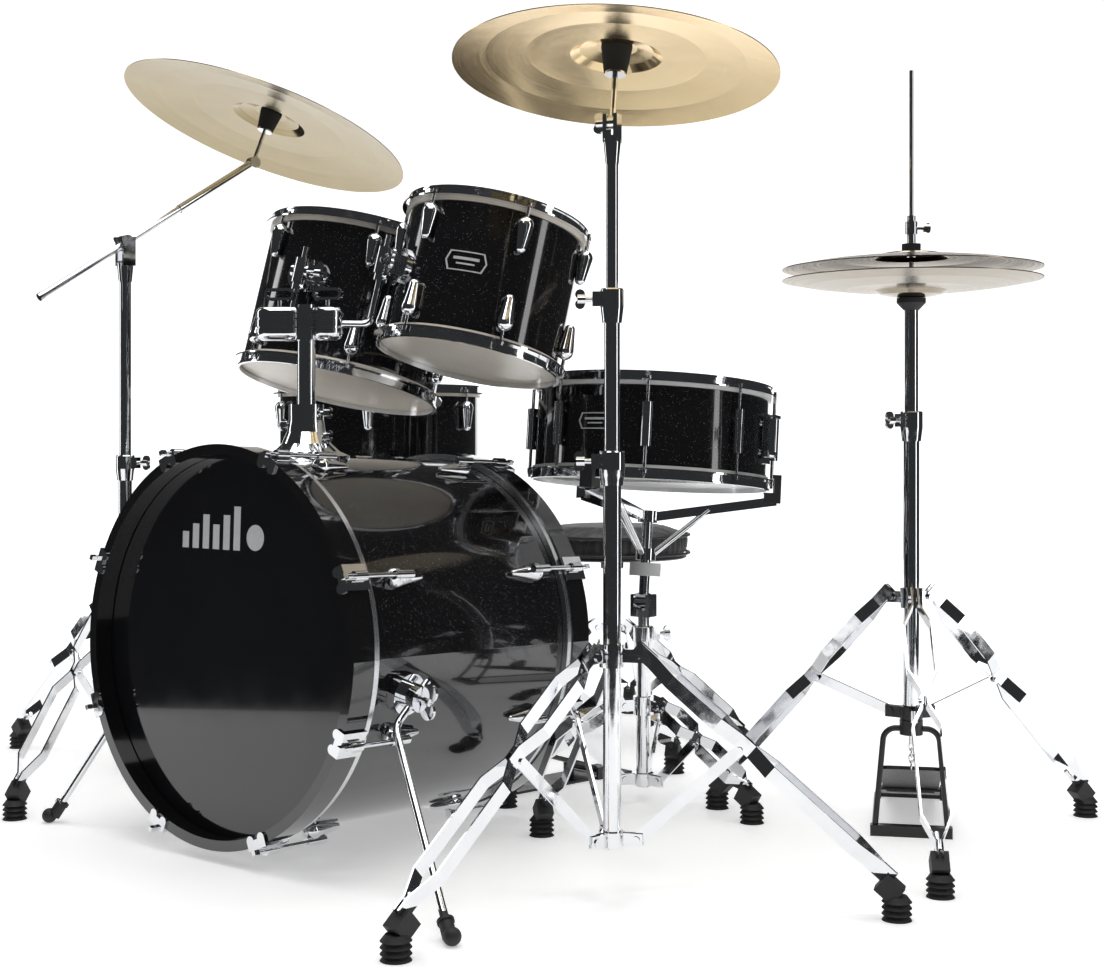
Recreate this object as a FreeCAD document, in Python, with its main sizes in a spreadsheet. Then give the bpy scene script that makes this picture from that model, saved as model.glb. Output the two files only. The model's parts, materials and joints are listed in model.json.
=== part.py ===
"""Five-piece acoustic drum kit with its stands, two pedals, cymbals and throne, in millimetres.

+Z is up, +Y points from the audience to the player and +X is the audience's right.
The origin is on the floor at the middle of the whole kit's footprint. Every driving size is a cell
of the spreadsheet. A drum is built about its own axis, from the middle of its shell, then placed.
"""
import FreeCAD, Part
import math
import os
import re

import Sketcher
from FreeCAD import Placement, Rotation, Vector

CELLS = {
    # where the middle of the bass drum stands, from the origin
    "kit_x": 38.7, "kit_y": -342.6,
    # bass drum
    "bass_radius": 254.0, "bass_wall": 7.5, "bass_depth": 406.0, "bass_centre_z": 273.1, "bass_tilt": 2.0,
    "bass_hoop_radius": 265.0, "bass_hoop_width": 35.5, "bass_overall": 463.0, "bass_lug_count": 8,
    "bass_lug_reach": 128.0, "tee_rod_radius": 3.0, "spur_rod_radius": 5.0,
    # tom holder
    "holder_y": -65.0, "holder_base_radius": 60.0, "holder_base_z": 526.0, "holder_collar_z": 600.0,
    "post_radius": 12.5, "post_top_z": 738.0, "clamp_z": 711.0, "arm_rod_radius": 5.0,
    # shared drum hardware
    "rim_sheet": 2.3, "rim_flange": 12.0, "rim_rise": 8.0, "rim_drop": 7.0, "film": 0.8,
    "tension_rod_radius": 2.6, "tension_rod_inset": 8.2,
    # drums: shell radius, shell depth, middle of the shell, lean and its heading; the snare's x and y
    # are its stand's, because the drum leans about the tilter below it
    "small_tom_radius": 127.0, "small_tom_depth": 203.0,
    "small_tom_x": 136.0, "small_tom_y": 151.0, "small_tom_z": 765.0, "small_tom_lean": 15.1,
    "large_tom_radius": 152.4, "large_tom_depth": 229.0,
    "large_tom_x": -182.0, "large_tom_y": 202.0, "large_tom_z": 747.0, "large_tom_lean": 14.7,
    "tom_heading": 79.5, "tom_wall": 6.0,
    "floor_tom_radius": 177.8, "floor_tom_depth": 362.0,
    "floor_tom_x": -418.0, "floor_tom_y": 496.0, "floor_tom_z": 456.0, "floor_leg_radius": 5.0,
    "snare_radius": 177.8, "snare_depth": 140.0, "snare_x": 217.0, "snare_y": 429.0, "snare_z": 559.0,
    "snare_lean": 5.5, "snare_heading": 95.0,
    # snare stand heights
    "snare_collar_z": 144.0, "snare_bracket_z": 32.0, "snare_foot_radius": 217.0, "snare_clamp_z": 247.0,
    "snare_tilter_z": 304.0, "snare_nut_z": 352.0, "snare_hub_z": 375.0, "snare_arm_z": 433.0,
    # straight cymbal stand
    "straight_x": 517.0, "straight_y": -46.5, "straight_foot_radius": 338.0, "straight_collar_z": 293.0,
    "straight_bracket_z": 73.0, "straight_low_clamp_z": 520.0, "straight_high_clamp_z": 715.0,
    "straight_tilter_z": 933.0, "base_tube_radius": 11.0, "middle_tube_radius": 9.5, "top_tube_radius": 7.5,
    "crash_lean": 9.5, "crash_heading": 105.9, "cymbal_rise": 91.0,
    # boom cymbal stand
    "boom_x": -562.0, "boom_y": 50.5, "boom_foot_radius": 342.0, "boom_collar_z": 293.0,
    "boom_bracket_z": 73.0, "boom_leg_heading": 56.0,
    "boom_clamp_z": 506.0, "boom_pivot_z": 874.0, "boom_reach": 292.0, "boom_tail": 180.0,
    "boom_rise": 33.0, "boom_heading": 81.3, "ride_lean": 20.2, "ride_heading": 69.4,
    # cymbals: radius, bow below the bell, radius and rise of the bell
    "crash_radius": 198.0, "crash_bow": 20.0, "crash_bell": 56.0, "crash_bell_rise": 12.0,
    "ride_radius": 254.0, "ride_bow": 20.0, "ride_bell": 66.0, "ride_bell_rise": 14.0,
    "hat_radius": 178.0, "hat_bow": 16.0, "hat_bell": 52.0, "hat_bell_rise": 10.0,
    "cymbal_metal": 1.3, "cymbal_hole": 6.5,
    # hi-hat stand
    "hat_x": 647.0, "hat_y": 469.7, "hat_foot_radius": 312.0, "hat_collar_z": 332.0, "hat_bracket_z": 172.0,
    "hat_clamp_z": 572.0, "hat_cup_z": 731.0, "hat_bottom_z": 774.0, "hat_gap": 14.0,
    "hat_rod_top_z": 1064.0, "hat_rod_radius": 3.2, "hat_heading": 117.5,
    "footboard_length": 265.0, "footboard_width": 84.0, "footboard_pitch": 17.0,
    # bass drum pedal
    "pedal_x": -2.0, "pedal_y": 246.0, "pedal_yaw": -8.0, "pedal_shaft_z": 150.0, "beater_reach": 145.0,
    # throne
    "throne_x": -137.0, "throne_y": 816.5, "throne_foot_radius": 290.0, "throne_collar_z": 205.0,
    "throne_bracket_z": 60.0, "seat_radius": 145.0, "seat_bottom_z": 333.0, "seat_thickness": 56.0,
    # flat-strap legs
    "strap_thickness": 2.5, "strap_width": 17.0, "leg_spread": 17.0, "leg_pinch": 0.42,
    "foot_height": 42.0, "foot_radius": 15.0,
}

doc = FreeCAD.newDocument("drum_kit")
sheet = doc.addObject("Spreadsheet::Sheet", "sheet")
for number, (alias, amount) in enumerate(CELLS.items(), start=1):
    sheet.set(f"A{number}", alias)
    sheet.set(f"B{number}", str(amount))
    sheet.setAlias(f"B{number}", alias)
doc.recompute()

UP = Vector(0, 0, 1)
PARTS = []


def cell(alias):
    """The number in the spreadsheet cell that has this alias."""
    return float(getattr(sheet, alias))


def bound(text):
    """An expression on cell aliases, written out for the expression engine."""
    return re.sub(r"[a-z][a-z_]{3,}", lambda word: "sheet." + word.group(0), text)


def number_of(text):
    """The present value of an expression on cell aliases."""
    return float(sheet.evalExpression(bound(text)))


def polar(radius, degrees, z=0.0):
    """A point at this radius and heading, at height z."""
    angle = math.radians(degrees)
    return Vector(radius * math.cos(angle), radius * math.sin(angle), z)


def kit_point(x, y, z):
    """A point given from the floor under the middle of the bass drum."""
    return Vector(cell("kit_x") + x, cell("kit_y") + y, z)


def leaning(lean, heading):
    """The rotation that leans the Z axis by lean degrees towards a heading."""
    return Rotation(polar(1, heading + 90), lean)


# ---------------------------------------------------------------- placements of the assemblies
BASS = Placement(kit_point(0, 0, cell("bass_centre_z")), Rotation(Vector(1, 0, 0), 90 - cell("bass_tilt")))


def spot(name, z=0.0):
    """An upright placement at a stand's cells NAME_x and NAME_y."""
    return Placement(kit_point(cell(name + "_x"), cell(name + "_y"), z), Rotation())


def drum_spot(name, lean=0.0, heading=0.0):
    """The placement of a drum's middle from its cells NAME_x, NAME_y and NAME_z."""
    place = spot(name, cell(name + "_z"))
    place.Rotation = leaning(lean, heading)
    return place


SMALL_TOM = drum_spot("small_tom", cell("small_tom_lean"), cell("tom_heading"))
LARGE_TOM = drum_spot("large_tom", cell("large_tom_lean"), cell("tom_heading"))
FLOOR_TOM = drum_spot("floor_tom")
STRAIGHT = spot("straight")
BOOM = spot("boom")
HAT = spot("hat")
HAT_PEDAL = Placement(HAT.Base, Rotation(UP, cell("hat_heading")))
THRONE = spot("throne")
SNARE_STAND = spot("snare")
SNARE_PIVOT = UP * cell("snare_tilter_z")
BASKET = SNARE_STAND.multiply(Placement(SNARE_PIVOT, leaning(cell("snare_lean"), cell("snare_heading"))))
BASKET = BASKET.multiply(Placement(-SNARE_PIVOT, Rotation()))
SNARE = BASKET.multiply(Placement(UP * cell("snare_z"), Rotation()))
PEDAL = Placement(kit_point(cell("pedal_x"), cell("pedal_y"), 0), Rotation(UP, cell("pedal_yaw")))
HOLDER = Placement(kit_point(0, cell("holder_y"), 0), Rotation())


# ---------------------------------------------------------------- ways to make a piece
def origin_plane(body, role):
    """The body's own origin plane with this role."""
    return next(item for item in body.Origin.OriginFeatures if item.Role == role)


def lathe(label, outlines, place):
    """A body turned about Z. Each outline is a list of (radius, height) expressions on the cells."""
    body = doc.addObject("PartDesign::Body", label)
    body.AllowCompound = True
    sketch = body.newObject("Sketcher::SketchObject", label + "_outline")
    sketch.AttachmentSupport = [(origin_plane(body, "XZ_Plane"), "")]
    sketch.MapMode = "FlatFace"
    for outline in outlines:
        corners = [Vector(number_of(r), number_of(z), 0) for r, z in outline]
        first = sketch.GeometryCount
        count = len(corners)
        for index, corner in enumerate(corners):
            sketch.addGeometry(Part.LineSegment(corner, corners[(index + 1) % count]), False)
        for index in range(count):
            following = first + (index + 1) % count
            sketch.addConstraint(Sketcher.Constraint("Coincident", first + index, 2, following, 1))
        for index, (r, z) in enumerate(outline):
            for kind, text, size, axis in (("DistanceX", r, corners[index].x, -2),
                                           ("DistanceY", z, corners[index].y, -1)):
                if abs(size) < 1e-9:
                    sketch.addConstraint(Sketcher.Constraint("PointOnObject", first + index, 1, axis))
                    continue
                low, high = ((-1, 1), (first + index, 1))
                if size < 0:
                    low, high = high, low
                at = sketch.addConstraint(Sketcher.Constraint(kind, *low, *high, abs(size)))
                sign = "-1 * " if size < 0 else ""
                sketch.setExpression(f"Constraints[{at}]", f"{sign}({bound(text)})")
    turned = body.newObject("PartDesign::Revolution", label + "_turned")
    turned.Profile = sketch
    turned.ReferenceAxis = (sketch, ["V_Axis"])
    turned.Angle = 360
    sketch.Visibility = False
    body.Placement = place
    PARTS.append(body)
    return body


def piece(label, solids, place):
    """A piece, or a set of like pieces, whose solids are made by Part's own functions."""
    feature = doc.addObject("Part::Feature", label)
    feature.Shape = Part.makeCompound(list(solids))
    feature.Placement = place
    PARTS.append(feature)
    return feature


# ---------------------------------------------------------------- solids that repeat
def rod(start, end, radius):
    """A round bar from one point to another."""
    along = end - start
    return Part.makeCylinder(radius, along.Length, start, along)


def pipe(start, end, outer, inner):
    """A round tube from one point to another."""
    return rod(start, end, outer).cut(rod(start, end, inner))


def fused(*solids):
    """One solid from several that touch or overlap."""
    return solids[0].multiFuse(list(solids[1:])).removeSplitter()


def bent_rod(points, radius, bend):
    """A round bar along straight runs joined by arcs of one bend radius."""
    edges = []
    start = points[0]
    for before, corner, after in zip(points, points[1:], points[2:]):
        to_before = (before - corner).normalize()
        to_after = (after - corner).normalize()
        half = to_before.getAngle(to_after) / 2
        trim = bend / math.tan(half)
        enter = corner + to_before * trim
        leave = corner + to_after * trim
        middle = corner + (to_before + to_after).normalize() * (bend / math.sin(half) - bend)
        edges.append(Part.LineSegment(start, enter).toShape())
        edges.append(Part.Arc(enter, middle, leave).toShape())
        start = leave
    edges.append(Part.LineSegment(start, points[-1]).toShape())
    wire = Part.Wire(edges)
    circle = Part.Circle(points[0], points[1] - points[0], radius).toShape()
    return wire.makePipeShell([Part.Wire([circle])], True, True)


def turned(points):
    """A solid turned about Z from (radius, height) points joined by straight lines."""
    corners = [Vector(r, 0, z) for r, z in points]
    return Part.Face(Part.makePolygon(corners + corners[:1])).revolve(Vector(), UP, 360)


def slab(points, thickness):
    """A plate of this outline in the XY plane, thickness upward."""
    return Part.Face(Part.makePolygon(points + points[:1])).extrude(Vector(0, 0, thickness))


def around(solid, count, first=0.0):
    """Copies of a solid spaced evenly about Z."""
    return [solid.rotated(Vector(), UP, first + 360.0 * index / count) for index in range(count)]


def bulb(length, round_radius, point_radius):
    """A tear-drop along Z: a ball at the top end tapering to a smaller ball at the bottom end."""
    high = length / 2 - round_radius
    low = point_radius - length / 2
    slope = (round_radius - point_radius) / (high - low)
    side = math.sqrt(1 - slope * slope)
    cone = Part.makeCone(point_radius * side, round_radius * side,
                         high - low - slope * (round_radius - point_radius),
                         Vector(0, 0, low - point_radius * slope))
    return fused(Part.makeSphere(round_radius, Vector(0, 0, high)),
                 Part.makeSphere(point_radius, Vector(0, 0, low)), cone)


def wing_bolt(reach, span):
    """A wing bolt along +X from the origin: stem, hub and two wings standing in the XZ plane."""
    stem = rod(Vector(0, 0, 0), Vector(reach, 0, 0), 3)
    hub = rod(Vector(reach, 0, 0), Vector(reach + 10, 0, 0), 5.5)
    lobe = span / 4
    wings = [Part.makeCylinder(lobe, 4, Vector(reach + 7, -2, z), Vector(0, 1, 0)) for z in (lobe, -lobe)]
    return fused(stem, hub, *wings)


# ---------------------------------------------------------------- drums
def rim_outline(radius, end, side):
    """A flanged hoop's section at a shell end; side is + at the top and - at the bottom."""
    wall = f"{radius} + 1.5"
    flange = f"{radius} + rim_flange"
    lip = f"{radius} + 6"
    low, high = (f"{side}({end} - rim_drop)", f"{side}({end} + rim_rise)")
    under = f"{side}({end} - rim_drop + rim_sheet)"
    over = f"{side}({end} + rim_rise - rim_sheet)"
    return [(wall, low), (flange, low), (flange, under), (f"{wall} + rim_sheet", under),
            (f"{wall} + rim_sheet", over), (lip, over), (lip, high), (wall, high)]


def head_outline(radius, end, side):
    """A drum head's section: film, collar and the flesh ring under the hoop's flange."""
    inner, outer = (f"{radius} + 0.1", f"{radius} + 0.9")
    ring = f"{radius} + 3.2"
    film, top = (f"{side}({end} + 0.05)", f"{side}({end} + 0.05 + film)")
    low, high = (f"{side}({end} - 12)", f"{side}({end} - rim_drop - 0.1)")
    return [("0", film), (inner, film), (inner, low), (ring, low), (ring, high), (outer, high),
            (outer, top), ("0", top)]


def shell_outline(radius, wall, end):
    """A drum shell's section."""
    return [(radius, f"-1 * {end}"), (radius, end), (f"{radius} - {wall}", end),
            (f"{radius} - {wall}", f"-1 * {end}")]


def tension_rods(radius, half_depth, count, first, stop):
    """Rods of one drum end: a square head above the flange and a rod from under it to the lug."""
    place = radius + cell("tension_rod_inset")
    flange = half_depth - cell("rim_drop")
    size = cell("tension_rod_radius")
    head = fused(Part.makeCylinder(4.2, 2.0, Vector(place, 0, flange + cell("rim_sheet"))),
                 Part.makeCylinder(3.6, 5.0, Vector(place, 0, flange + cell("rim_sheet"))),
                 Part.makeBox(4.6, 4.6, 9.0, Vector(place - 2.3, -2.3, flange + cell("rim_sheet"))))
    stem = rod(Vector(place, 0, stop), Vector(place, 0, flange), size)
    return around(head, count, first) + around(stem, count, first)


def flipped(solids):
    """Solids turned over end for end about X."""
    return [solid.rotated(Vector(), Vector(1, 0, 0), 180) for solid in solids]


def bullet_lugs(radius, half_depth, count, first, length=52.0):
    """Bullet lugs near one end of a shell, with their tension rods."""
    middle = half_depth - 20 - length / 2
    bullet = bulb(length, 12.0, 7.5)
    bullet.translate(Vector(radius + 8.0, 0, middle))
    bullet = bullet.cut(Part.makeCylinder(radius + 0.05, 4 * length, Vector(0, 0, middle - 2 * length)))
    rods = tension_rods(radius, half_depth, count, first, middle + length / 2 - 7.8)
    place = radius + cell("tension_rod_inset")
    stem_hole = rod(Vector(place, 0, middle + length / 2 - 8), Vector(place, 0, half_depth),
                    cell("tension_rod_radius") + 0.06)
    return around(bullet.cut(stem_hole), count, first) + rods


def lug_set(radius, half_depth, count, first):
    """Bullet lugs and rods at both ends of a shell."""
    top = bullet_lugs(radius, half_depth, count, first)
    return top + flipped(bullet_lugs(radius, half_depth, count, -first))


def make_drum(name, wall, place):
    """Shell, hoops and heads of a drum named by its cells."""
    radius, end = (f"{name}_radius", f"{name}_depth / 2")
    lathe(f"{name}_shell", [shell_outline(radius, wall, end)], place)
    lathe(f"{name}_hoops", [rim_outline(radius, end, "1 * "), rim_outline(radius, end, "-1 * ")], place)
    lathe(f"{name}_heads", [head_outline(radius, end, "1 * "), head_outline(radius, end, "-1 * ")], place)


# ---------------------------------------------------------------- bass drum
def make_bass_drum():
    """Bass drum: shell, wooden hoops, heads, claws with their rods, lugs and spur mounts."""
    end = "bass_depth / 2"
    over = "bass_overall / 2"
    lathe("bass_shell", [shell_outline("bass_radius", "bass_wall", end)], BASS)
    hoops = []
    heads = []
    for side in ("1 * ", "-1 * "):
        seat = f"{side}({over} - bass_hoop_width)"
        step = f"{side}({end} + 2.5)"
        face = f"{side}({over})"
        hoops.append([("bass_radius + 1.3", seat), ("bass_hoop_radius", seat), ("bass_hoop_radius", face),
                      ("bass_radius - 3", face), ("bass_radius - 3", step), ("bass_radius + 1.3", step)])
        film, top = (f"{side}({end} + 0.05)", f"{side}({end} + 1.05)")
        low = f"{side}({over} - bass_hoop_width - 10)"
        heads.append([("0", film), ("bass_radius + 0.1", film), ("bass_radius + 0.1", low),
                      ("bass_radius + 9", low), ("bass_radius + 9", seat), ("bass_radius + 1.1", seat),
                      ("bass_radius + 1.1", top), ("0", top)])
    lathe("bass_hoops", hoops, BASS)
    lathe("bass_heads", heads, BASS)
    count = int(cell("bass_lug_count"))
    first = 180.0 / count
    claws = around(claw(), count, first)
    lugs = around(bass_lug(), count, first)
    piece("bass_claws", claws + flipped(claws), BASS)
    mounts = [spur_mount(side) for side in (1, -1)]
    piece("bass_lugs", lugs + flipped(lugs) + mounts, BASS)


def tee_axis():
    """Distance of a claw's rod from the bass drum's axis."""
    return cell("bass_hoop_radius") + 7.9


def claw():
    """One claw over the wooden hoop with its rod, at the +X side of the front end."""
    inner = cell("bass_hoop_radius") + 0.3
    outer = inner + 4.0
    face = cell("bass_overall") / 2 + 0.1
    back = face - cell("bass_hoop_width") - 1
    thick = 3.0
    width = Part.makeBox(30.0, 34.0, face + thick - back, Vector(outer - 29.0, -17.0, back))
    saddle = pipe(Vector(0, 0, back), Vector(0, 0, face + thick), outer, inner).common(width)
    edge = Part.makeBox(10.0, 34.0, thick, Vector(inner - 9.0, -17.0, face))
    bridge = Part.makeCylinder(outer, thick, Vector(0, 0, face)).common(edge)
    pads = [Part.makeCylinder(6.5, thick, Vector(inner - 9.0, y, face)) for y in (-10.5, 10.5)]
    boss = Part.makeCylinder(6.2, 20.0, Vector(tee_axis(), 0, back + 8.0))
    stem = rod(Vector(tee_axis(), 0, cell("bass_lug_reach") + 10), Vector(tee_axis(), 0, face + 8),
               cell("tee_rod_radius"))
    head = Part.makeBox(6.4, 6.4, 8.0, Vector(tee_axis() - 3.2, -3.2, face + 3))
    return fused(saddle, bridge, *pads, boss, stem, head)


def bass_lug():
    """One tear-drop lug with its point towards the middle of the shell, at the +X side."""
    radius = cell("bass_radius")
    length = 62.0
    middle = cell("bass_lug_reach") - 8.0
    drop = bulb(length, 13.0, 4.0)
    drop.translate(Vector(radius + 5.0, 0, middle))
    neck = rod(Vector(tee_axis(), 0, middle), Vector(tee_axis(), 0, middle + length / 2 + 1), 5.5)
    stem = rod(Vector(tee_axis(), 0, cell("bass_lug_reach") + 9.8), Vector(tee_axis(), 0, cell("bass_depth")),
               cell("tee_rod_radius") + 0.06)
    inside = Part.makeCylinder(radius + 0.3, cell("bass_depth"), Vector(0, 0, -cell("bass_lug_reach")))
    return fused(drop, neck).cut(inside).cut(stem)


SPUR_ALONG = 132.0
SPUR_BELOW = 10.0


def spur_mount(side):
    """The round spur base bolted to the shell, on the +X or -X side of the bass drum."""
    radius = cell("bass_radius")
    heading = -SPUR_BELOW if side > 0 else 180 + SPUR_BELOW
    disc = Part.makeCylinder(27.0, 20.0, Vector(radius - 6.0, 0, 0), Vector(1, 0, 0))
    disc = disc.cut(Part.makeCylinder(radius + 0.3, 100, Vector(0, 0, -50)))
    disc = disc.cut(rod(Vector(radius - 10, 0, 0), Vector(radius + 40, 0, 0), 8.08))
    return disc.rotated(Vector(), UP, heading).translated(Vector(0, 0, SPUR_ALONG))


def make_spurs():
    """The two folding spurs: turning hub, wing nut, bent rod, washer and rubber foot."""
    for name, side, foot in (("spur_left", -1, kit_point(-353, -237.5, 0)),
                             ("spur_right", 1, kit_point(495, -306.5, 0))):
        heading = -SPUR_BELOW if side > 0 else 180 + SPUR_BELOW
        axis = BASS.Rotation.multVec(polar(1, heading))
        mount = BASS.multVec(polar(cell("bass_radius") + 14.2, heading, SPUR_ALONG))
        hub_end = mount + axis * 22
        hub = rod(mount, hub_end, 17.0)
        pin = rod(mount - axis * 13.5, mount + axis, 8.0)
        nut = wing_bolt(6.0, 46.0)
        nut.Placement = Placement(hub_end - axis, Rotation(Vector(1, 0, 0), axis))
        centre = mount + axis * 11
        down = foot - centre
        down = (down - axis * down.dot(axis)).normalize()
        knee = centre + down * 46
        out = (foot - knee).normalize()
        ankle = foot - out * 34
        leg = bent_rod([centre - down * 26, knee, ankle], cell("spur_rod_radius"), 28.0)
        washer = rod(ankle - out, ankle + out * 3, 10.0)
        rubber = fused(rod(ankle + out * 2, foot - out * 12, 8.5),
                       Part.makeSphere(10.5, foot + Vector(0, 0, 10.5)))
        piece(name, [fused(hub, pin, nut, leg, washer, rubber)], Placement())


# ---------------------------------------------------------------- tom holder
LEFT_CLAMP, RIGHT_CLAMP = (Vector(-30, -22, 0), Vector(28, 14, 0))
LEFT_BEND, RIGHT_BEND = (Vector(-132, 84, 0), Vector(66, 57, 0))
BRACKET_UP = 92.0
BRACKET_HALF = 19.0


def stadium(length, width, height, low):
    """An upright block with half-round ends, length along X, standing on height low."""
    straight = (length - width) / 2
    ends = [Part.makeCylinder(width / 2, height, Vector(x, 0, low)) for x in (-straight, straight)]
    return fused(*ends, Part.makeBox(2 * straight, width, height, Vector(-straight, -width / 2, low)))


def jaw_clamp(centre, heading, long, wide):
    """A two-jaw clamp on the post: a banded block with a bowl below and a band-shaped key on top."""
    half = 23.0
    body = stadium(long, wide, 2 * half, -half)
    body = body.makeFillet(7.0, [edge for edge in body.Edges if edge.BoundBox.ZMin > half - 0.1])
    body = body.makeFillet(12.0, [edge for edge in body.Edges if edge.BoundBox.ZMax < 0.1 - half])
    for level in (-6.0, 6.0):
        band = stadium(long + 6, wide + 6, 2.0, level).cut(stadium(long - 3, wide - 3, 2.0, level))
        body = body.cut(band)
    bolt = rod(Vector(0, 0, half - 1), Vector(0, 0, half + 12), 3.0)
    key = stadium(42.0, 17.0, 11.0, -5.5).cut(stadium(34.0, 9.0, 12.0, -6.0))
    key.rotate(Vector(), Vector(1, 0, 0), 90)
    key.translate(Vector(0, 0, half + 18.5))
    block = fused(body, bolt, key)
    block.Placement = Placement(centre, Rotation(UP, heading))
    return block


def memory_ring(base, along):
    """The ring clamped on an arm that sets the height of a drum, with its square-headed screw."""
    across = along.cross(Vector(0, 0, 1)).normalize()
    middle = base + along * 5
    return fused(rod(base, base + along * 10, 9.5), rod(middle, middle + across * 19, 3.4))


def make_tom_holder():
    """Base on the bass drum, height post with two jaw clamps, and the two L-shaped arms."""
    radius = cell("holder_base_radius")
    base_z, collar_z = (cell("holder_base_z"), cell("holder_collar_z"))
    post = cell("post_radius")
    bell = turned([(post + 0.08, base_z - 16), (radius, base_z - 16), (radius, base_z + 3),
                   (radius - 14, base_z + 9), (radius - 26, base_z + 20), (radius - 33, base_z + 36),
                   (radius - 36, base_z + 52), (radius - 36, collar_z), (post + 0.08, collar_z)])
    keys = []
    for heading, height in ((15, 30), (15, 62), (195, 46)):
        bolt = wing_bolt(30.0, 16.0).rotated(Vector(), UP, heading)
        keys.append(bolt.translated(Vector(0, 0, base_z + height)))
    bore = rod(Vector(0, 0, 300), Vector(0, 0, collar_z + 20), post + 0.08)
    drum = Part.makeCylinder(cell("bass_radius") + 0.1, 500, Vector(0, 0, -250)).transformed(
        HOLDER.inverse().multiply(BASS).toMatrix())
    base = fused(bell, *keys).cut(bore).cut(drum)
    piece("tom_holder_base", [base], HOLDER)
    clamp_z = cell("clamp_z")
    left, right = (LEFT_CLAMP + UP * clamp_z, RIGHT_CLAMP + UP * clamp_z)
    head = Part.makeCylinder(19.0, 44.0, Vector(0, 0, clamp_z - 22))
    tube = rod(Vector(0, 0, base_z + 12), Vector(0, 0, cell("post_top_z")), post)
    clamps = [jaw_clamp(left, 216, 66, 44), jaw_clamp(right, 26, 42, 40)]
    arms = []
    for name, clamp, bend, drum_place in (("tom_arm_left", left, LEFT_BEND, LARGE_TOM),
                                          ("tom_arm_right", right, RIGHT_BEND, SMALL_TOM)):
        corner = bend + UP * clamp_z
        along = (corner - clamp).normalize()
        upright = drum_place.Rotation.multVec(UP)
        run = [clamp - along * 18, corner, corner + upright * 130]
        ring = memory_ring(corner + upright * (BRACKET_UP - BRACKET_HALF - 10.4), upright)
        arm = fused(bent_rod(run, cell("arm_rod_radius"), 14.0), ring)
        arms.append((name, arm, clamp - along * 18.3, along))
    stack = fused(head, tube, *clamps)
    for name, arm, start, along in arms:
        stack = stack.cut(rod(start, start + along * 90, cell("arm_rod_radius") + 0.06))
    piece("tom_post", [stack], HOLDER)
    for name, arm, start, along in arms:
        piece(name, [arm], HOLDER)


def tom_bracket(drum_place, bend, radius):
    """The bracket on a tom's shell that grips the upright end of its arm, in the drum's own frame."""
    corner = HOLDER.multVec(bend + UP * cell("clamp_z"))
    upright = drum_place.Rotation.multVec(UP)
    foot = drum_place.inverse().multVec(corner + upright * BRACKET_UP)
    heading = math.degrees(math.atan2(foot.y, foot.x))
    reach = math.hypot(foot.x, foot.y)
    ends = [Part.makeCylinder(25.0, 9.0, Vector(radius - 4, y, foot.z), Vector(1, 0, 0)) for y in (-9, 9)]
    plate = fused(*ends, Part.makeBox(9.0, 18.0, 50.0, Vector(radius - 4, -9.0, foot.z - 25)))
    eye = Part.makeCylinder(12.0, 2 * BRACKET_HALF, Vector(reach, 0, foot.z - BRACKET_HALF))
    low = foot.z - BRACKET_HALF
    web = Part.makeBox(reach - radius, 16.0, 2 * BRACKET_HALF - 8, Vector(radius, -8.0, low + 4))
    jaw = rod(Vector(reach, -14, foot.z), Vector(reach, 14, foot.z), 9.0)
    bolt = wing_bolt(16.0, 30.0).rotated(Vector(), UP, 90).translated(Vector(reach, 8, foot.z))
    whole = fused(plate, web, eye, jaw, bolt)
    whole = whole.cut(Part.makeCylinder(radius + 0.05, 300, Vector(0, 0, -150)))
    hole = rod(Vector(reach, 0, -200), Vector(reach, 0, 200), cell("arm_rod_radius") + 0.06)
    return whole.cut(hole).rotated(Vector(), UP, heading)


def make_toms():
    """The two rack toms and the floor tom with its legs."""
    for name, place, bend, first in (("small_tom", SMALL_TOM, RIGHT_BEND, 29.5),
                                     ("large_tom", LARGE_TOM, LEFT_BEND, 20.0)):
        make_drum(name, "tom_wall", place)
        radius = cell(name + "_radius")
        half = cell(name + "_depth") / 2
        bracket = tom_bracket(place, bend, radius)
        piece(f"{name}_lugs", lug_set(radius, half, 6, first) + [bracket], place)
    make_drum("floor_tom", "tom_wall", FLOOR_TOM)
    radius = cell("floor_tom_radius")
    half = cell("floor_tom_depth") / 2
    leg = cell("floor_leg_radius")
    reach = radius + 22.0
    grip = Part.makeBox(30.0, 26.0, 46.0, Vector(radius - 4, -13.0, -63.0))
    grip = grip.cut(Part.makeCylinder(radius + 0.05, 200, Vector(0, 0, -100)))
    grip = fused(grip, wing_bolt(14.0, 26.0).translated(Vector(reach + 2, 0, -40)))
    grip = grip.cut(rod(Vector(reach, 0, -200), Vector(reach, 0, 200), leg + 0.06))
    piece("floor_tom_lugs", lug_set(radius, half, 6, 9.0) + around(grip, 3, 219.0), FLOOR_TOM)
    floor = -cell("floor_tom_z")
    bar = bent_rod([Vector(reach, 0, 40), Vector(reach, 0, floor + 190), Vector(reach + 14, 0, floor + 100),
                    Vector(reach + 14, 0, floor + 26)], leg, 25.0)
    sole = Part.makeCylinder(13.0, 30.0, Vector(reach + 14, 0, floor))
    sole = sole.makeFillet(3.0, [edge for edge in sole.Edges if edge.Closed])
    piece("floor_tom_legs", around(fused(bar, sole), 3, 219.0), FLOOR_TOM)


# ---------------------------------------------------------------- snare drum
STRAINER_HEADING = 8.3
SNARE_LUG_HEADING = 33.4
BASKET_HEADING = 39.0
LEVER_Z = -28.0


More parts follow.
